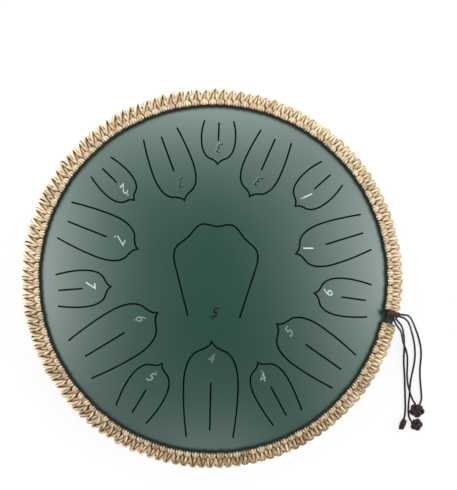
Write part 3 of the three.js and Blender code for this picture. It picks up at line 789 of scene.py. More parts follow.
def smooth_path(points, steps):
    """A smooth curve through given points, the one that the solids follow."""
    points = np.asarray(points, float)
    line = np.vstack([2 * points[0] - points[1], points, 2 * points[-1] - points[-2]])
    made = []
    for a, b, c, d in zip(line, line[1:], line[2:], line[3:]):
        ab, bc, cd = (math.sqrt(np.linalg.norm(q - p)) for p, q in ((a, b), (b, c), (c, d)))
        leave = ((b - a) / ab - (c - a) / (ab + bc) + (c - b) / bc) * bc
        arrive = ((c - b) / bc - (d - b) / (bc + cd) + (d - c) / cd) * bc
        for t in np.arange(steps) / steps:
            bend = (3 * (c - b) - 2 * leave - arrive) * t**2 + (2 * (b - c) + leave + arrive) * t**3
            made.append(b + leave * t + bend)
    made.append(points[-1])
    return np.array(made)


def at_bearing(bearing, r, z):
    """Points at bearings in degrees, distances from the axis and heights above the seam."""
    angle = np.radians(bearing)
    return np.column_stack(np.broadcast_arrays(r * np.cos(angle), r * np.sin(angle), z + SEAM))


def bezier(a, b, c, d, steps):
    """Points of a curve from a to d that b and c pull towards them."""
    a, b, c, d = (np.asarray(p, float) for p in (a, b, c, d))
    t = np.linspace(0, 1, steps + 1)[:, None]
    return a * (1 - t) ** 3 + 3 * b * t * (1 - t) ** 2 + 3 * c * t**2 * (1 - t) + d * t**3


def ring_half(belly, length):
    """The right half of a petal tongue, from its root to its pointed tip."""
    w = belly / 2
    root = ROOT_TO_BELLY * w
    waist = length - 1.69 * w
    side = bezier((root, 0), (root + 0.6 * (w - root), 0.35 * waist), (w, 0.65 * waist), (w, waist), 8)
    shoulder = (0.48 * w, length - 0.37 * w)
    turn = bezier((w, waist), (w, length - 1.06 * w), (0.85 * w, length - 0.54 * w), shoulder, 12)
    tip = bezier(shoulder, (0.31 * w, length - 0.32 * w), (0, length - 0.18 * w), (0, length), 8)
    return np.vstack([side, turn[1:], tip[1:]])


def centre_half():
    """The right half of the middle tongue, from its root to the dip in its top."""
    w = CENTRE_BELLY / 2
    top = CENTRE_LENGTH
    corner = (0.98 * w, top - 0.94 * w)
    upper = (0.89 * w, top - 0.5 * w)
    waist = (0.54 * w, top - 0.15 * w)
    lobe = (0.3 * w, top)
    side = np.linspace((CENTRE_ROOT_WIDTH / 2, 0), corner, 14)
    return np.vstack([
        side,
        bezier(corner, (1.03 * w, top - 0.75 * w), (w, top - 0.59 * w), upper, 8)[1:],
        bezier(upper, (0.78 * w, top - 0.42 * w), (0.63 * w, top - 0.3 * w), waist, 8)[1:],
        bezier(waist, (0.47 * w, top - 0.06 * w), (0.4 * w, top), lobe, 6)[1:],
        bezier(lobe, (0.2 * w, top), (0.11 * w, top - CENTRE_DIP), (0, top - CENTRE_DIP), 6)[1:],
    ])


def both_sides(half):
    """A whole outline from its right half: up the right side, over the tip and down the left."""
    return np.vstack([half, half[-2::-1] * (-1, 1)])


def moved_out(line, distance):
    """A tongue outline moved out on both sides, its ends kept on the root line, its sharp tip clipped."""
    before = line[1:-1] - line[:-2]
    after = line[2:] - line[1:-1]
    before = np.column_stack([before[:, 1], -before[:, 0]]) / np.linalg.norm(before, axis=1)[:, None]
    after = np.column_stack([after[:, 1], -after[:, 0]]) / np.linalg.norm(after, axis=1)[:, None]
    share = before + after
    size = np.linalg.norm(share, axis=1)
    reach = np.minimum(2 / size, SLOT_TIP_REACH)
    middle = line[1:-1] + distance * share * (reach / size)[:, None]
    return np.vstack([line[0] + (distance, 0), middle, line[-1] - (distance, 0)])


def half_turn(centre_x, radius):
    """The round end of a slot: from the left of its centre, below it, to its right."""
    angles = np.linspace(math.pi, 2 * math.pi, SLOT_END_POINTS)
    return np.column_stack([centre_x + radius * np.cos(angles), radius * np.sin(angles)])


def stadium(start, end, radius):
    """The outline of a slit along the middle line of a tongue."""
    foot = half_turn(0, radius) + (0, start + radius)
    head = half_turn(0, radius) * (-1, -1) + (0, end - radius)
    steps = max(2, round((end - start) / SLIT_STEP))
    right = np.linspace(foot[-1], head[0], steps)[1:-1]
    left = np.linspace(head[-1], foot[0], steps)[1:-1]
    return np.vstack([foot, right, head, left])


class Tongue:
    """One tongue's lines in plan, and where they lie on the drum."""

    def __init__(self, name, half, root_place, turn, slit):
        self.name = name
        self.node = "tongue_" + name
        self.length = half[:, 1].max()
        self.root_place = np.asarray(root_place)
        self.turn = turn
        self.outline = both_sides(half)
        self.slit = slit
        root = half[0][0]
        inner = np.linspace(EDGE_WIDTH - root, root - EDGE_WIDTH, max(4, round(root / ROOT_HALF_STEP)))
        self.root_line = np.column_stack([inner, np.zeros(len(inner))])
        gap = root + SLOT_WIDTH / 2
        self.slot_edge = np.vstack([
            half_turn(gap, SLOT_WIDTH / 2),
            moved_out(self.outline, SLOT_WIDTH)[1:-1],
            half_turn(-gap, SLOT_WIDTH / 2),
        ])
        self.slot_rim = np.vstack([
            half_turn(gap, SLOT_WIDTH / 2 + EDGE_WIDTH),
            moved_out(self.outline, SLOT_WIDTH + EDGE_WIDTH)[1:-1],
            half_turn(-gap, SLOT_WIDTH / 2 + EDGE_WIDTH),
        ])

    def placed(self, points):
        """Points of this tongue's own plan, root at the bottom and tip on top, as they lie on the drum."""
        c, s = math.cos(self.turn), math.sin(self.turn)
        points = np.asarray(points, float)
        turned = np.column_stack([points[:, 0] * c - points[:, 1] * s, points[:, 0] * s + points[:, 1] * c])
        return turned + self.root_place

    def bend(self, made):
        """Works out where the tongue would bend on its middle line, which is not used, and bakes the piece's
        placement into its mesh.
        """
        along = on_dome(self.placed([(0, 0), (0, BEND_SHARE * self.length)])) * MM
        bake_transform(made)


def all_tongues():
    """The fourteen tongues of the ring and the one in the middle."""
    made = []
    for note in RING_TONGUES:
        angle = math.radians(note["bearing"])
        radius = ROOT_RADIUS - note["start"]
        root = (radius * math.cos(angle), radius * math.sin(angle))
        foot = note["slit_start"] - note["start"]
        half = ring_half(note["belly"], note["length"] - note["start"])
        made.append(Tongue(note["name"], half, root, angle + math.pi / 2, (foot, foot + note["slit"])))
    turn = math.radians(CENTRE_BEARING - 90)
    c, s = math.cos(turn), math.sin(turn)
    root = (
        CENTRE_SIDESTEP * c + CENTRE_ROOT_OFFSET * s,
        CENTRE_SIDESTEP * s - CENTRE_ROOT_OFFSET * c,
    )
    made.append(Tongue(CENTRE_NAME, centre_half(), root, turn, None))
    return made


def on_dome(plan, depth=0.0):
    """Points of a plan lifted on the dome, then sunk by a depth along its normal."""
    plan = np.asarray(plan, float)
    r = np.hypot(plan[:, 0], plan[:, 1])
    crown = r <= CROWN_EDGE
    centre_r = np.where(crown, 0.0, KNUCKLE_R)
    centre_z = np.where(crown, CROWN_Z, KNUCKLE_Z)
    radius = np.where(crown, CROWN_RADIUS, KNUCKLE_RADIUS)
    lean = (r - centre_r) / radius
    out = centre_r + (radius - depth) * lean
    height = centre_z + (radius - depth) * np.sqrt(1 - lean**2) + SEAM
    return np.column_stack([plan * (out / np.maximum(r, 1e-9))[:, None], height])


def inside(points, loop):
    """Which points lie inside a closed loop."""
    x, y = points[:, 0, None], points[:, 1, None]
    ax, ay = loop[:, 0], loop[:, 1]
    bx, by = np.roll(ax, -1), np.roll(ay, -1)
    crosses = (ay > y) != (by > y)
    rise = np.where(by == ay, 1.0, by - ay)
    return (crosses & (x < ax + (y - ay) * (bx - ax) / rise)).sum(axis=1) % 2 == 1


class Plan:
    """A flat region with holes and marked lines, filled with triangles and then raised on the dome."""

    def __init__(self, outer):
        self.points = []
        self.edges = []
        self.dropped = []
        self.holes = []
        self.outer = outer
        self.line(outer, closed=True)

    def line(self, points, closed=False, dropped=False):
        """Draws a line that the triangles keep; its dropped points lie lower on the dome."""
        first = len(self.points)
        count = len(points)
        self.points.extend(map(tuple, points))
        self.dropped.extend(np.broadcast_to(dropped, count))
        self.edges.extend((first + i, first + i + 1) for i in range(count - 1))
        if closed:
            self.edges.append((first + count - 1, first))

    def hole(self, points, dropped=True):
        """Cuts a hole along a closed line."""
        self.holes.append(np.asarray(points))
        self.line(points, closed=True, dropped=dropped)

    def holds(self, points):
        """Which points lie in the region and in none of its holes."""
        kept = inside(points, self.outer)
        for hole in self.holes:
            kept &= ~inside(points, hole)
        return kept

    def fill(self):
        """Plan points, triangles, dropped flags and where each drawn point went."""
        low, high = self.outer.min(axis=0), self.outer.max(axis=0)
        rows = np.arange(low[1] + SHEET_GRID / 2, high[1], SHEET_ROW)
        spots = np.array([
            (x + (i % 2) * SHEET_GRID / 2, y)
            for i, y in enumerate(rows)
            for x in np.arange(low[0] + SHEET_GRID / 4, high[0], SHEET_GRID)
        ])
        spots = spots[self.holds(spots)]
        near = KDTree(len(self.points))
        for i, (x, y) in enumerate(self.points):
            near.insert((x, y, 0), i)
        near.balance()
        spots = [(x, y) for x, y in spots if near.find((x, y, 0))[2] > SHEET_CLEARANCE]
        drawn = [Vector(p) for p in self.points] + [Vector(p) for p in spots]
        verts, _, faces, sources, _, _ = delaunay_2d_cdt(drawn, self.edges, [], 0, 1e-5)
        plan = np.array([tuple(v) for v in verts])
        triangles = np.array(faces)
        triangles = triangles[self.holds(plan[triangles].mean(axis=1))]
        went = np.zeros(len(drawn), int)
        dropped = np.zeros(len(plan), bool)
        for i, indices in enumerate(sources):
            went[indices] = i
            dropped[i] = any(j < len(self.dropped) and self.dropped[j] for j in indices)
        return plan, triangles, dropped, went


def raise_sheet(plan, triangles, dropped, open_edges=()):
    """A sheet of the shell's thickness over a filled plan, with walls at all edges but the open ones.

    Also tells which faces are cut edges: the walls and the bevels that lead down to them, which get the
    slots' painted shade.
    """
    n = len(plan)
    points = np.vstack([on_dome(plan, np.where(dropped, EDGE_DROP, 0.0)), on_dome(plan, WALL)])
    faces = [tuple(t) for t in triangles] + [tuple(t[::-1] + n) for t in triangles]
    directed = {(t[i], t[(i + 1) % 3]) for t in triangles for i in range(3)}
    edge = list(dropped[triangles].any(axis=1)) + [False] * len(triangles)
    skipped = set(open_edges)
    for a, b in sorted(directed):
        if (b, a) not in directed and (a, b) not in skipped:
            faces.append((b, a, a + n, b + n))
            edge.append(True)
    return points, faces, edge


def upper_shell(tongues):
    """The dome with its slots, and the knuckle, fillet and flange round it."""
    count = DOME_SEGMENTS
    angles = 2 * np.pi * np.arange(count) / count
    plan = Plan(PLAN_EDGE * np.column_stack([np.cos(angles), np.sin(angles)]))
    for tongue in tongues:
        edge = np.vstack([tongue.slot_edge, tongue.root_line])
        dropped = np.arange(len(edge)) < len(tongue.slot_edge)
        plan.hole(tongue.placed(edge), dropped)
        plan.line(tongue.placed(tongue.slot_rim))
    filled, triangles, dropped, went = plan.fill()
    circle = went[:count]
    open_edges = list(zip(circle, np.roll(circle, -1)))
    points, faces, edge = raise_sheet(filled, triangles, dropped, open_edges)
    start = math.pi / 2 - math.asin((PLAN_EDGE - KNUCKLE_R) / KNUCKLE_RADIUS)
    end = math.pi / 2 - DOME_SLOPE
    fillet = (RIM_RADIUS + FLANGE_FILLET * math.sin(DOME_SLOPE), FLANGE_TOP + FLANGE_FILLET)
    turn = (1.5 * math.pi - DOME_SLOPE, 1.5 * math.pi)
    inner_radius = FLANGE_FILLET + WALL
    profile = arc(KNUCKLE_R, KNUCKLE_Z, KNUCKLE_RADIUS, start, end, 10)[1:]
    profile += arc(*fillet, FLANGE_FILLET, *turn, 6)[1:]
    profile += [(FLANGE_RADIUS, FLANGE_TOP), (FLANGE_RADIUS, FLANGE_TOP - WALL)]
    profile += arc(*fillet, inner_radius, *turn[::-1], 6)
    profile += arc(KNUCKLE_R, KNUCKLE_Z, KNUCKLE_RADIUS - WALL, end, start, 10)[1:-1]
    rings = [circle]
    extra = []
    for r, z in profile:
        first = len(points) + len(extra) * count
        extra.append(np.column_stack([r * np.cos(angles), r * np.sin(angles), np.full(count, z + SEAM)]))
        rings.append(np.arange(first, first + count))
    rings.append(circle + len(filled))
    for near, far in zip(rings, rings[1:]):
        faces += list(zip(near, far, np.roll(far, -1), np.roll(near, -1)))
    mould = Mould()
    edge += [False] * (len(faces) - len(edge))
    mould.add(np.vstack([points, *extra]), faces, edge=edge)
    made = mould.piece("upper_shell", PAINT, "green_paint", sharp=20.0)
    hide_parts("top_shell")


def tongue_leaf(tongue):
    """A tongue's sheet, from its root line to its tip, with its slit."""
    plan = Plan(np.vstack([tongue.placed(tongue.outline), tongue.placed(tongue.root_line)]))
    plan.dropped[:len(tongue.outline)] = [True] * len(tongue.outline)
    plan.line(tongue.placed(moved_out(tongue.outline, -EDGE_WIDTH)))
    if tongue.slit:
        start, end = tongue.slit
        plan.hole(tongue.placed(stadium(start, end, SLOT_WIDTH / 2)))
        rim = stadium(start - EDGE_WIDTH, end + EDGE_WIDTH, SLOT_WIDTH / 2 + EDGE_WIDTH)
        plan.line(tongue.placed(rim), closed=True)
    filled, triangles, dropped, _ = plan.fill()
    points, faces, edge = raise_sheet(filled, triangles, dropped)
    mould = Mould()
    mould.add(points, faces, edge=edge)
    made = mould.piece("leaf_" + tongue.name, PAINT, "green_paint", sharp=20.0, body=None)
    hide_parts(tongue.node)
    tongue.bend(made)


def digit_solid(figure, proud):
    """A slanted figure as a flat closed solid: points about its middle, and faces."""
    text = bpy.data.curves.new("figure", "FONT")
    text.body = figure
    text.shear = DIGIT_SLANT
    text.extrude = 0.1
    text.resolution_u = 5
    holder = bpy.data.objects.new("figure", text)
    solid = bmesh.new()
    solid.from_mesh(holder.to_mesh())
    bmesh.ops.remove_doubles(solid, verts=solid.verts, dist=1e-5)
    bmesh.ops.recalc_face_normals(solid, faces=solid.faces)
    points = np.array([tuple(v.co) for v in solid.verts])
    faces = [tuple(v.index for v in face.verts) for face in solid.faces]
    solid.free()
    bpy.data.objects.remove(holder)
    bpy.data.curves.remove(text)
    low, high = points.min(axis=0), points.max(axis=0)
    points -= (low + high) / 2
    points *= DIGIT_HEIGHT / (high[1] - low[1])
    points[:, 2] = np.where(points[:, 2] > 0, proud, -DIGIT_SUNK)
    return points, faces


def digit(tongue):
    """The note's figure on a tongue, its top to the tip, with a dot above or below for the octave."""
    octave, figure = tongue.name.split("_")
    painted_reflection, aside, from_tip = FIGURES[tongue.name]
    layers = [(painted_reflection, DIGIT_PROUD, (0.0, 0.0))]
    # Dark figures get a second, brighter copy shifted to one side: a painted glint.
    if painted_reflection == DARK_PAINTED_REFLECTION:
        layers.append((PAINTED_GLINT_LEVEL, PAINTED_GLINT_PROUD, PAINTED_GLINT_SHIFT))
    mould = Mould()
    for tone, proud, shift in layers:
        shapes = [(digit_solid(figure, proud), 0.0)]
        if octave != "mid":
            profile = [(0, -DIGIT_SUNK), (DOT_RADIUS, -DIGIT_SUNK), (DOT_RADIUS, proud), (0, proud)]
            dot = revolve(profile, DOT_SEGMENTS)
            shapes.append((dot, DOT_OFFSET if octave == "high" else -DOT_OFFSET))
        for (points, faces), offset in shapes:
            points = np.asarray(points)
            plan = points[:, :2] + (aside + DIGIT_SLANT * offset, tongue.length - from_tip + offset)
            mould.add(on_dome(tongue.placed(plan) + shift, -points[:, 2]), faces, tone=tone)
    made = mould.piece("digit_" + tongue.name, SILVER, "zinc", sharp=30.0, body=None)
    tongue.bend(made)


def lower_shell():
    """The bowl: flange, side arc, base knuckle and flat base with the sound hole."""
    down = 1.5 * math.pi
    base = BASE_KNUCKLE_Z - BASE_KNUCKLE_RADIUS
    fillet = (RIM_RADIUS + FLANGE_FILLET * math.sin(BOWL_SLOPE), -FLANGE_TOP - FLANGE_FILLET)
    fillet_turn = (math.pi / 2 + BOWL_SLOPE, math.pi / 2)
    knuckle = (BASE_RADIUS, BASE_KNUCKLE_Z)
    side = (BOWL_SIDE_R, BOWL_SIDE_Z)
    knuckle_turn = (down, down + BASE_KNUCKLE_TURN)
    side_turn = (down + BASE_KNUCKLE_TURN, down + BOWL_SLOPE)
    hole, chamfer = SOUND_HOLE_RADIUS, SOUND_HOLE_CHAMFER
    profile = [(hole, base + chamfer), (hole + chamfer, base)]
    profile += arc(*knuckle, BASE_KNUCKLE_RADIUS, *knuckle_turn, 16)
    profile += arc(*side, BOWL_SIDE_RADIUS, *side_turn, 12)[1:]
    profile += arc(*fillet, FLANGE_FILLET, *fillet_turn, 6)[1:]
    profile += [(FLANGE_RADIUS, -FLANGE_TOP), (FLANGE_RADIUS, WALL - FLANGE_TOP)]
    profile += arc(*fillet, FLANGE_FILLET + WALL, *fillet_turn[::-1], 6)
    profile += arc(*side, BOWL_SIDE_RADIUS - WALL, *side_turn[::-1], 12)[1:]
    profile += arc(*knuckle, BASE_KNUCKLE_RADIUS - WALL, *knuckle_turn[::-1], 16)[1:]
    profile += [(hole + chamfer, base + WALL), (hole, base + WALL - chamfer)]
    shape = revolve(profile, SHELL_SEGMENTS, lift=SEAM)
    made = one_shape(shape, "lower_shell", PAINT, "green_paint", sharp=25.0)
    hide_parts("bottom_shell")


def screw_profile(seat, tip):
    """A button-head screw from its hexagon socket up to its pointed thread."""
    head = seat - SCREW_HEAD_HEIGHT
    socket_floor = head + SCREW_SOCKET_DEPTH
    profile = [(0, socket_floor), (SCREW_SOCKET_RADIUS, socket_floor)]
    across, up = SCREW_SOCKET_BEVEL
    profile += [(SCREW_SOCKET_RADIUS, head + up), (SCREW_SOCKET_RADIUS + across, head)]
    profile += arc(0, seat, SCREW_HEAD_RADIUS, *SCREW_CROWN, 6)
    profile += [(SCREW_HEAD_RADIUS, seat), (SCREW_RADIUS, seat)]
    z = seat + THREAD_START
    while z < tip - THREAD_END:
        profile += [(SCREW_RADIUS, z), (SCREW_RADIUS - THREAD_DEPTH, z + THREAD_PITCH / 2)]
        z += THREAD_PITCH
    return profile + [(SCREW_RADIUS - 0.1, tip - 0.5), (SCREW_RADIUS - 0.6, tip), (0, tip)]


def bevelled_ring(bore, reach, floor_height, thickness, bevel):
    """The profile of a washer or a nut, with a bevel on both corners of its outer edge."""
    across, up = bevel
    top = floor_height + thickness
    return [
        (bore, floor_height), (reach - across, floor_height), (reach, floor_height + up),
        (reach, top - up), (reach - across, top), (bore, top),
    ]


def hexed(points, centre, reach):
    """Gives the points that lie near a radius about a centre the outline of a hexagon of that radius."""
    points = np.asarray(points, float)
    flat = points[:, :2] - centre
    r = np.hypot(flat[:, 0], flat[:, 1])
    angle = np.mod(np.arctan2(flat[:, 1], flat[:, 0]), math.pi / 3) - math.pi / 6
    scale = np.where(abs(r - reach) < 0.02, math.cos(math.pi / 6) / np.cos(angle), 1.0)
    points[:, :2] = centre + flat * scale[:, None]
    return points


def foot_stack(i):
    """One rubber foot with its screw and washer below and its nut inside the bowl."""
    angle = math.radians(45 + 90 * (i - 1))
    centre = (FOOT_CIRCLE_RADIUS * math.cos(angle), FOOT_CIRCLE_RADIUS * math.sin(angle))
    bore = SCREW_RADIUS + FIT
    recess = WASHER_RADIUS + FIT
    toe = FOOT_TOE_RADIUS - FOOT_TOE_ROUND
    top = (FOOT_TOP_RADIUS - FOOT_TOP_ROUND, FOOT_HEIGHT - FOOT_TOP_ROUND)
    foot = [(recess + FOOT_RECESS_CHAMFER, 0), (toe, 0)]
    foot += arc(toe, FOOT_TOE_ROUND, FOOT_TOE_ROUND, -math.pi / 2, 0, 6)[1:]
    foot += [(FOOT_TOP_RADIUS - FOOT_FLANK[0], FOOT_HEIGHT - FOOT_FLANK[1])]
    foot += arc(*top, FOOT_TOP_ROUND, 0, math.pi / 2, 4)
    foot += [(bore, FOOT_HEIGHT), (bore, FOOT_RECESS), (recess, FOOT_RECESS), (recess, FOOT_RECESS_CHAMFER)]
    washer_floor = FOOT_RECESS - FIT - WASHER_THICKNESS
    nut_floor = BASE_UNDERSIDE + WALL + FIT
    nut_reach = NUT_FLATS / math.sqrt(3)
    screw = screw_profile(washer_floor - FIT, nut_floor + NUT_HEIGHT + SCREW_PAST_NUT)
    washer = bevelled_ring(bore, WASHER_RADIUS, washer_floor, WASHER_THICKNESS, WASHER_BEVEL)
    nut = bevelled_ring(bore, nut_reach, nut_floor, NUT_HEIGHT, NUT_BEVEL)
    parts = [
        ("foot", foot, RUBBER, "rubber", None),
        ("washer", washer, ZINC, "zinc", None),
        ("screw", screw, ZINC, "zinc", SCREW_SOCKET_RADIUS),
        ("nut", nut, ZINC, "zinc", nut_reach),
    ]
    for kind, profile, material, slot, hexagon in parts:
        points, faces = revolve(profile, FOOT_SEGMENTS, centre)
        if hexagon:
            points = hexed(points, centre, hexagon)
        made = one_shape((points, faces), f"{kind}_part_{i}", material, slot, sharp=32.0)
        node = f"foot_{i}" if kind == "foot" else f"foot_{kind}_{i}"
        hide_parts(node)


def rim_trim():
    """The rubber channel pushed over both flanges."""
    lip = FLANGE_TOP + FIT
    inner = FLANGE_RADIUS + FIT
    level = TRIM_TOP - TRIM_CORNER
    upper = [(TRIM_EDGE, lip)]
    upper += arc(TRIM_EDGE + TRIM_CORNER, level, TRIM_CORNER, math.pi, math.pi / 2, 4)
    upper += arc(TRIM_RADIUS - TRIM_CORNER, level, TRIM_CORNER, math.pi / 2, 0, 4)
    lower = [(r, -z) for r, z in reversed(upper)]
    profile = upper + lower + [(inner, -lip), (inner, lip)]
    shape = revolve(profile[::-1], SHELL_SEGMENTS, lift=SEAM)
    made = one_shape(shape, "rim_trim", TRIM_RUBBER, "grey_rubber", sharp=40.0)
    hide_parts("edge_trim")


def band_point(bearing, side, section, lift):
    """A point of the braid: bearing, sideways place along the rim, angle round its section, and lift."""
    section = np.radians(section)
    c, s = np.cos(section), np.sin(section)
    power = 2 / BAND_SQUARENESS
    r = BAND_MIDDLE + np.sign(c) * abs(c) ** power * (BAND_HALF_THICKNESS + lift)
    z = np.sign(s) * abs(s) ** power * (BAND_HALF_HEIGHT + lift)
    return at_bearing(bearing + np.degrees(side / BAND_MIDDLE), r, z)


def directions(steps):
    """Each row of an array brought to length one."""
    return steps / np.linalg.norm(steps, axis=1)[:, None]


def jute_braid():
    """Square knots side by side: round bumps over the inner edge, leaning loops over the outer edge."""
    draw = random.Random(11)
    mould = Mould()
    pitch = (BAND_TO - BAND_FROM) / KNOT_COUNT
    t = 0.5 - 0.5 * np.cos(np.linspace(0, np.pi, STRAND_POINTS))
    swell = np.sin(np.pi * t)
    late_swell = np.sin(np.pi * t**1.4)

    def strand(bearing, side, section, lift, radius, light):
        """One strand of the braid, its tone darkened by painted shade: by the light level given and on its
        sides.
        """
        tone = light * draw.uniform(*STRAND_TONES)
        path = band_point(bearing, side, section, lift)
        outward = path - at_bearing(bearing + np.degrees(side / BAND_MIDDLE), BAND_MIDDLE, 0.0)
        points, faces, places = tube(path, radius, STRAND_SIDES)
        facing = directions(points - np.repeat(path, STRAND_SIDES, axis=0))
        facing = (facing * np.repeat(directions(outward), STRAND_SIDES, axis=0)).sum(axis=1)
        # Painted shade between the strands: darker where a strand faces sideways or inward.
        shade = np.clip(0.5 + 0.7 * facing, 0.0, 1.2)
        tone = np.repeat(np.broadcast_to(tone, len(path)), STRAND_SIDES)
        mould.add(points, faces, places, tone=tone * shade)

    def bump(bearing, face):
        """A fan of three strands that swells over the inner edge and dives at the middle line."""
        puff = draw.uniform(-BUMP_PUFF, BUMP_PUFF)
        lean = draw.uniform(-BUMP_LEAN, BUMP_LEAN)
        for j in (-1, 0, 1):
            height = BUMP_HEIGHT + puff - BUMP_ROUNDING * j * j
            strand(
                bearing,
                side=j * (BUMP_FOOT + BUMP_SPREAD * late_swell) + lean * (t - 0.5),
                section=face * (INNER_EDGE - (BUMP_REACH - BUMP_TAPER * j * j) * t),
                lift=-BUMP_DEPTH + BUMP_CLIMB * t + height * late_swell**0.5,
                radius=BUMP_STRAND_RADIUS + BUMP_STRAND_SWELL * late_swell,
                # Painted shade: darkest at the strand's start, low on the inner edge.
                light=0.8 * t + 0.65 * late_swell - 0.15,
            )

    def loop(bearing, face, lean):
        """An arched strand that leans over, its near leg on top, and the strand that fills its hollow.

        Where the band is loose the arch is slack and its filling lies deep, darkened by painted shade.
        """
        loose = math.cos(math.radians(bearing - LOOSE_BEARING))
        open_share = min(max(0.5 + 0.75 * loose, 0.0), 1.0)
        slack = LOOP_SLACK * min(max(0.25 + loose, 0.0), 1.0)
        spread = draw.uniform(-LOOP_SLANT_SPREAD, LOOP_SLANT_SPREAD)
        slant = 0.5 * lean + (LOOP_SLANT + spread) * open_share
        puff = draw.uniform(-LOOP_PUFF, LOOP_PUFF)
        turn = np.linspace(0, np.pi, LOOP_POINTS)
        reach = np.sin(turn)
        under = np.maximum(np.cos(turn), 0) * open_share
        half_width = LOOP_HALF_WIDTH * (1 - LOOP_NARROWING * reach)
        arch = LOOP_HEIGHT * (1 - (1 - reach) ** 3) - LOOP_DIP * reach**3 + puff * reach
        strand(
            bearing,
            side=-half_width * np.cos(turn) - slant * reach,
            section=face * (LOOP_ROOT - LOOP_REACH * reach),
            lift=-LOOP_DEPTH + arch + slack * reach**2 - UNDER_LEG_DROP * under,
            radius=LOOP_STRAND_RADIUS + LOOP_STRAND_SWELL * reach,
            # Painted shade and light: darker on the leg that passes under, paler towards the arch's top.
            light=0.62 + (0.1 + 0.55 * open_share) * reach**0.6 - 0.25 * under,
        )
        height = FILLING_HEIGHT - FILLING_DROP * open_share
        strand(
            bearing,
            side=-slant * t,
            section=face * (LOOP_ROOT - LOOP_REACH * t),
            lift=-FILLING_DEPTH + height * swell**0.5 + slack * t**2,
            radius=FILLING_RADIUS + FILLING_SWELL * swell,
            # Painted shade: the filling darkens outwards, most where the band is loose.
            light=np.maximum(1.15 - (0.5 + 0.9 * open_share) * t, 0.1),
        )

    def between_knots(bearing):
        """Two strands that fill the gap between two knots: one over the outer edge, one on top."""
        strand(
            bearing,
            side=draw.uniform(-SIDE_SHIFT, SIDE_SHIFT),
            section=SIDE_EDGE - 2 * SIDE_EDGE * t,
            lift=-SIDE_DEPTH + SIDE_RISE * swell,
            radius=SIDE_RADIUS,
            # Painted shade: the strand low between the knots is kept darker.
            light=0.45 + 0.2 * swell,
        )
        strand(
            bearing,
            side=GAP_SLANT * (t - 0.5) + draw.uniform(-GAP_SHIFT, GAP_SHIFT),
            section=GAP_FROM - GAP_REACH * t,
            lift=-GAP_DEPTH + (GAP_HEIGHT + draw.uniform(-GAP_PUFF, GAP_PUFF)) * swell**0.5,
            radius=GAP_RADIUS + GAP_SWELL * swell,
            # Painted shade: darker at the strand's ends, paler in its middle.
            light=0.6 + 0.4 * swell,
        )

    last = KNOT_COUNT - 1
    for k in range(KNOT_COUNT):
        bearing = BAND_FROM + (k + 0.5 + draw.uniform(-KNOT_JITTER, KNOT_JITTER)) * pitch
        drift = LOOP_LEAN_DRIFT * math.sin(LOOP_LEAN_STEP * k)
        lean = LOOP_LEAN + drift + draw.uniform(-LOOP_LEAN_SPREAD, LOOP_LEAN_SPREAD)
        if k == 0:
            lean = min(lean, FIRST_LEAN)
        if k == last:
            lean = LAST_LEAN
        for face in (1, -1):
            bump(bearing, face)
            loop(bearing, face, lean)
        if k < last:
            between_knots(bearing + pitch / 2)
    for end, inward in ((BAND_FROM, 1), (BAND_TO, -1)):
        for step in END_WRAPS:
            section = END_WRAP_EDGE - 2 * END_WRAP_EDGE * t
            strand(end, inward * step, section, -END_WRAP_DEPTH, END_WRAP_RADIUS, light=0.5)
    made = mould.piece("jute_braid", JUTE, "jute", sharp=60.0)
    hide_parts("jute_band")


def braid_core():
    """The roll inside the braid, grooved for the trim, with a lip at the dome's foot, all in painted shade.
    """
    lip = TRIM_TOP + FIT
    groove = TRIM_RADIUS + FIT
    section = np.linspace(ROLL_SPREAD, -ROLL_SPREAD, ROLL_POINTS)
    ring = band_point(np.zeros(ROLL_POINTS), 0.0, section, -ROLL_DEPTH)
    profile = [(p[0], p[2] - SEAM) for p in ring]
    profile += [(profile[-1][0], -lip), (groove, -lip), (groove, lip), (CORE_CIRCLE + 0.8, lip + 0.4)]
    # The lip carries the painted shade into the shadowed gap at the dome's foot.
    profile += [(RIM_RADIUS + 0.5, lip - 1.0), (RIM_RADIUS + 0.4, lip - 0.5)]
    bearings = np.linspace(BAND_FROM + ROLL_INSET, BAND_TO - ROLL_INSET, ROLL_RINGS)
    r, z = np.array(profile).T
    points = np.vstack([at_bearing(bearing, r, z) for bearing in bearings])
    one_shape((points, ring_faces(ROLL_RINGS, len(profile))), "braid_core", JUTE_PAINTED_SHADE, "jute", sharp=50.0)


def core_cords():
    """The two cords inside the band; the upper one's ends turn up into the sliding knot."""

    def around(end, height, count):
        """A cord's round from one end to the other, which lie a few degrees from the slider."""
        bearings = np.linspace(SLIDER_BEARING + end, SLIDER_BEARING + 360 - end, count)
        return at_bearing(bearings, CORE_CIRCLE, height)

    away = np.array((0.24, 0.36, 0.58))
    reach = np.array((SLIDER_INNER_END + 1.6, SLIDER_INNER_END - 0.6, CORE_CIRCLE - 0.1))
    height = np.array((SLIDER_HEIGHT, SLIDER_HEIGHT - 0.6, CORE_HEIGHT + 1.4))
    rise = at_bearing(SLIDER_BEARING + away, reach, height)
    fall = at_bearing(SLIDER_BEARING - away, reach, height)[::-1]
    upper = smooth_path(np.vstack([rise, around(UPPER_CORD_END, CORE_HEIGHT, 240), fall]), 2)
    lower = around(LOWER_CORD_END, -CORE_HEIGHT, 300)
    for name, path in (("upper", upper), ("lower", lower)):
        shape = tube(path, CORD_RADIUS, CORD_SIDES)
        made = one_shape(shape, f"core_{name}", CORD, "waxed_cord", sharp=60.0)
        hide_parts(f"core_cord_{name}")


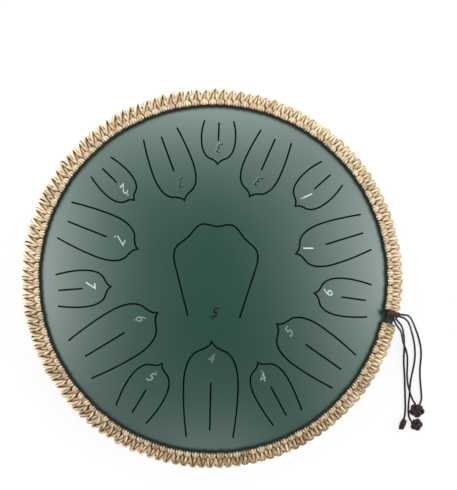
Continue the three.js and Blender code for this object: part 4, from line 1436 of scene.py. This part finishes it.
def wrap_path(wraps, radius, pitch):
    """A coil along the X axis about the origin, its ends tucked into its middle."""
    t = np.linspace(0, wraps, wraps * WRAP_STEPS + 1)
    coil = np.column_stack([
        (t - wraps / 2) * pitch,
        radius * np.cos(2 * np.pi * t),
        radius * np.sin(2 * np.pi * t),
    ])
    tuck = (0.96, 0.2, 0.2)
    return np.vstack([coil[0] * tuck, coil, coil[-1] * tuck])


def turned(path, angle, place):
    """A path turned about the upright axis and moved to a place."""
    c, s = math.cos(angle), math.sin(angle)
    path = np.asarray(path, float)
    x = path[:, 0] * c - path[:, 1] * s
    y = path[:, 0] * s + path[:, 1] * c
    return np.column_stack([x, y, path[:, 2]]) + place


def plug_path(half_length):
    """The middle line of a plug of cord along the X axis."""
    return np.linspace((-half_length, 0, 0), (half_length, 0, 0), 6)


def sliding_knot():
    """Six wraps of cord on a radial axis at the band's opening, round a plug and the starts of the tails."""
    length = SLIDER_WRAPS * 2 * CORD_RADIUS
    place = at_bearing(SLIDER_BEARING, SLIDER_INNER_END + length / 2, SLIDER_HEIGHT)[0]
    pitch = 2 * CORD_RADIUS * (SLIDER_WRAPS - 1) / SLIDER_WRAPS
    angle = math.radians(SLIDER_BEARING)
    mould = Mould()
    coil = wrap_path(SLIDER_WRAPS, WRAP_RADIUS, pitch)
    mould.add(*tube(turned(coil, angle, place), WRAP_CORD_RADIUS, CORD_SIDES))
    plug = plug_path(length / 2 - PLUG_INSET)
    mould.add(*tube(turned(plug, angle, place), PLUG_RADIUS, PLUG_SIDES))
    for route in TAIL_ROUTES.values():
        first, second = np.array(route[:2])
        reach = min(math.hypot(first[0], first[1]), SLIDER_INNER_END + length) - STUB_TUCK
        inside_end = at_bearing(SLIDER_BEARING, reach, SLIDER_HEIGHT)[0]
        stub = smooth_path([inside_end, first, first + STUB_OVERLAP * (second - first)], 5)
        mould.add(*tube(stub, STUB_CORD_RADIUS, CORD_SIDES))
    made = mould.piece("wrap_knot", KNOTTED_CORD, "waxed_cord", sharp=60.0)
    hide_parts("sliding_knot")


def lobed_loop(lobes, middle, swing, height):
    """A cord knotted on itself twice round, with lobes all round, its ends tucked into its middle."""
    t = np.linspace(0, 4 * np.pi, LOBE_POINTS * lobes)
    r = middle + swing * np.cos(lobes * t / 2)
    loop = np.column_stack([r * np.cos(t), r * np.sin(t), height * np.sin(lobes * t / 2)])
    return np.vstack([loop[0] * LOBE_TUCK, loop[:-2], loop[-1] * LOBE_TUCK])


def end_knots():
    """The knots at the tails' ends by name: two lobed ones round a heart of cord, and a barrel of wraps."""
    moulds = {}
    for name, knot in LOBED_KNOTS.items():
        moulds[name] = Mould()
        for lobes, middle, swing, height in knot["loops"]:
            loop = turned(lobed_loop(lobes, middle, swing, height), knot["turn"] * lobes, (0, 0, 0))
            loop = loop * knot["stretch"] + knot["place"]
            moulds[name].add(*tube(loop, knot["cord_radius"], CORD_SIDES))
        x, y, z = knot["place"]
        moulds[name].add(*revolve(HEART_PROFILE, HEART_SEGMENTS, (x, y), z))
    moulds["barrel"] = Mould()
    coil = wrap_path(BARREL_WRAPS, WRAP_RADIUS, BARREL_PITCH)
    coil[:, 1:] *= (1 - BARREL_TAPER * (coil[:, 0] / BARREL_HALF_LENGTH) ** 2)[:, None]
    plug = plug_path(BARREL_PLUG_HALF_LENGTH)
    for path, radius, sides in ((coil, BARREL_CORD_RADIUS, CORD_SIDES), (plug, PLUG_RADIUS, PLUG_SIDES)):
        moulds["barrel"].add(*tube(turned(path, BARREL_TURN, BARREL_PLACE), radius, sides))
    made = {}
    for name, mould in moulds.items():
        made[name] = mould.piece(f"end_lump_{name}", KNOTTED_CORD, "waxed_cord", sharp=60.0)
        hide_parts(f"end_knot_{name}")
    return made


def tails(knots):
    """The four free cord tails, each with the knot on its end looked up."""
    told = set()
    for node, route in TAIL_ROUTES.items():
        path = smooth_path(route, 8)
        shape = tube(path, CORD_RADIUS, CORD_SIDES)
        made = one_shape(shape, node.replace("_cord", ""), CORD, "waxed_cord", sharp=60.0)
        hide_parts(node)
        path = path * MM
        knot = knots[TAIL_KNOTS[node]]
        told.add(knot.name)


def camera():
    """A long lens far above the drum, looking straight down."""
    data = bpy.data.cameras.new("overhead")
    data.sensor_width = SENSOR
    data.lens = SENSOR * CAMERA_DISTANCE / FRAME_HEIGHT
    data.clip_end = 100.0
    made = bpy.data.objects.new("overhead", data)
    made.location = Vector((*CAMERA_ASIDE, SEAM + CAMERA_DISTANCE)) * MM
    bpy.context.scene.collection.objects.link(made)
    bpy.context.scene.camera = made


def floor():
    """A wide pale floor that keeps the drum's shadow; from below it lets the view through.

    Its glow ends under the drum's middle, where it would show through the slots.
    """
    material = bpy.data.materials.new("pale_floor")
    nodes = Nodes(material)
    paths = nodes.node("ShaderNodeLightPath")
    seen = (paths["Is Camera Ray"] + paths["Is Glossy Ray"] + paths["Is Transmission Ray"]).at_most(1.0)
    matt = nodes.node("ShaderNodeBsdfDiffuse", {}, {"Color": (0.88, 0.88, 0.875, 1.0)})["BSDF"]
    white = {"Color": (1.0, 1.0, 1.0, 1.0), "Strength": 1.0}
    glow = nodes.node("ShaderNodeEmission", {}, white)["Emission"]
    on_floor = nodes.node("ShaderNodeTexCoord")["Object"]
    place = nodes.node("ShaderNodeSeparateXYZ", {}, {"Vector": on_floor})
    away = (place["X"] * place["X"] + place["Y"] * place["Y"]) ** 0.5
    clear_of_drum = (away / (DARK_FLOOR_RADIUS * MM) - 1.0).at_least(0.0).at_most(1.0)
    share = seen * clear_of_drum * FLOOR_GLOW
    pale = nodes.node("ShaderNodeMixShader", {}, {0: share, 1: matt, 2: glow})["Shader"]
    clear = nodes.node("ShaderNodeBsdfTransparent")["BSDF"]
    below = nodes.node("ShaderNodeNewGeometry")["Backfacing"]
    shown = nodes.node("ShaderNodeMixShader", {}, {0: below, 1: pale, 2: clear})["Shader"]
    nodes.node("ShaderNodeOutputMaterial", {}, {"Surface": shown})
    mesh = bpy.data.meshes.new("floor")
    far = FLOOR_HALF_WIDTH * MM
    corners = [(-far, -far, 0), (far, -far, 0), (far, far, 0), (-far, far, 0)]
    mesh.from_pydata(corners, [], [(0, 1, 2, 3)])
    mesh.materials.append(material)
    made = bpy.data.objects.new("floor", mesh)
    made.location.z = -FLOOR_DROP * MM
    bpy.context.scene.collection.objects.link(made)


def studio_light():
    """Soft light, brightest low down at the two sides and the back, weak in front and dark overhead.

    A wide lamp above lights the matt surfaces, and the paint doesn't mirror it.
    """
    scene = bpy.context.scene
    scene.world = bpy.data.worlds.new("studio")
    nodes = Nodes(scene.world)
    direction = nodes.node("ShaderNodeTexCoord")["Generated"]
    parts = nodes.node("ShaderNodeSeparateXYZ", {}, {"Vector": direction})
    x, y, z = parts["X"], parts["Y"], parts["Z"]
    level = (x * x + y * y).at_least(0.0001) ** 0.5
    right = x / level
    back = y / level
    across = right * right
    # How bright it is half way up and low down, by compass direction
    high = (0.7 + 1.5 * right + 1.0 * back + 1.9 * right * back + 4.5 * across).at_least(0.1)
    low = (9.0 - 2.2 * right + 3.2 * back - 0.8 * right * back - 30.5 * across * back * back).at_least(0.6)
    drop = (1.0 - z).at_most(0.75)
    strength = WORLD_LEVEL * (0.03 + drop * (high + low * drop))
    sockets = {"Color": (1.0, 1.0, 1.0, 1.0), "Strength": strength}
    light = nodes.node("ShaderNodeBackground", {}, sockets)["Background"]
    nodes.node("ShaderNodeOutputWorld", {}, {"Surface": light})
    scene.view_settings.view_transform = "Standard"
    lamp = bpy.data.lights.new("overhead_light", "SUN")
    lamp.energy = LAMP_LEVEL
    lamp.angle = LAMP_WIDTH
    overhead = bpy.data.objects.new("overhead_light", lamp)
    overhead.visible_glossy = False
    scene.collection.objects.link(overhead)


PAINT = green_paint()
SLOT_SHADE = slot_shade()
JUTE = jute()
JUTE_PAINTED_SHADE = jute_core()
CORD = waxed_cord("waxed_cord", (0.006, 0.0035, 0.0035), (0.016, 0.0095, 0.009), (0.055, 0.037, 0.034))
KNOTTED_CORD = waxed_cord("knotted_cord", (0.01, 0.0045, 0.004), (0.03, 0.0135, 0.012), (0.09, 0.047, 0.04))
RUBBER = moulded_rubber("black_rubber", (0.012, 0.012, 0.012), (0.022, 0.022, 0.023))
TRIM_RUBBER = moulded_rubber("grey_rubber", (0.021, 0.023, 0.024), (0.033, 0.036, 0.037))
ZINC = zinc_plate()
SILVER = etched_silver()

camera()
studio_light()
floor()
tails(end_knots())
sliding_knot()
core_cords()
rim_trim()
tongue_list = all_tongues()
upper_shell(tongue_list)
for each_tongue in tongue_list:
    tongue_leaf(each_tongue)
    digit(each_tongue)
lower_shell()
for foot_number in range(1, 5):
    foot_stack(foot_number)
braid_core()
jute_braid()
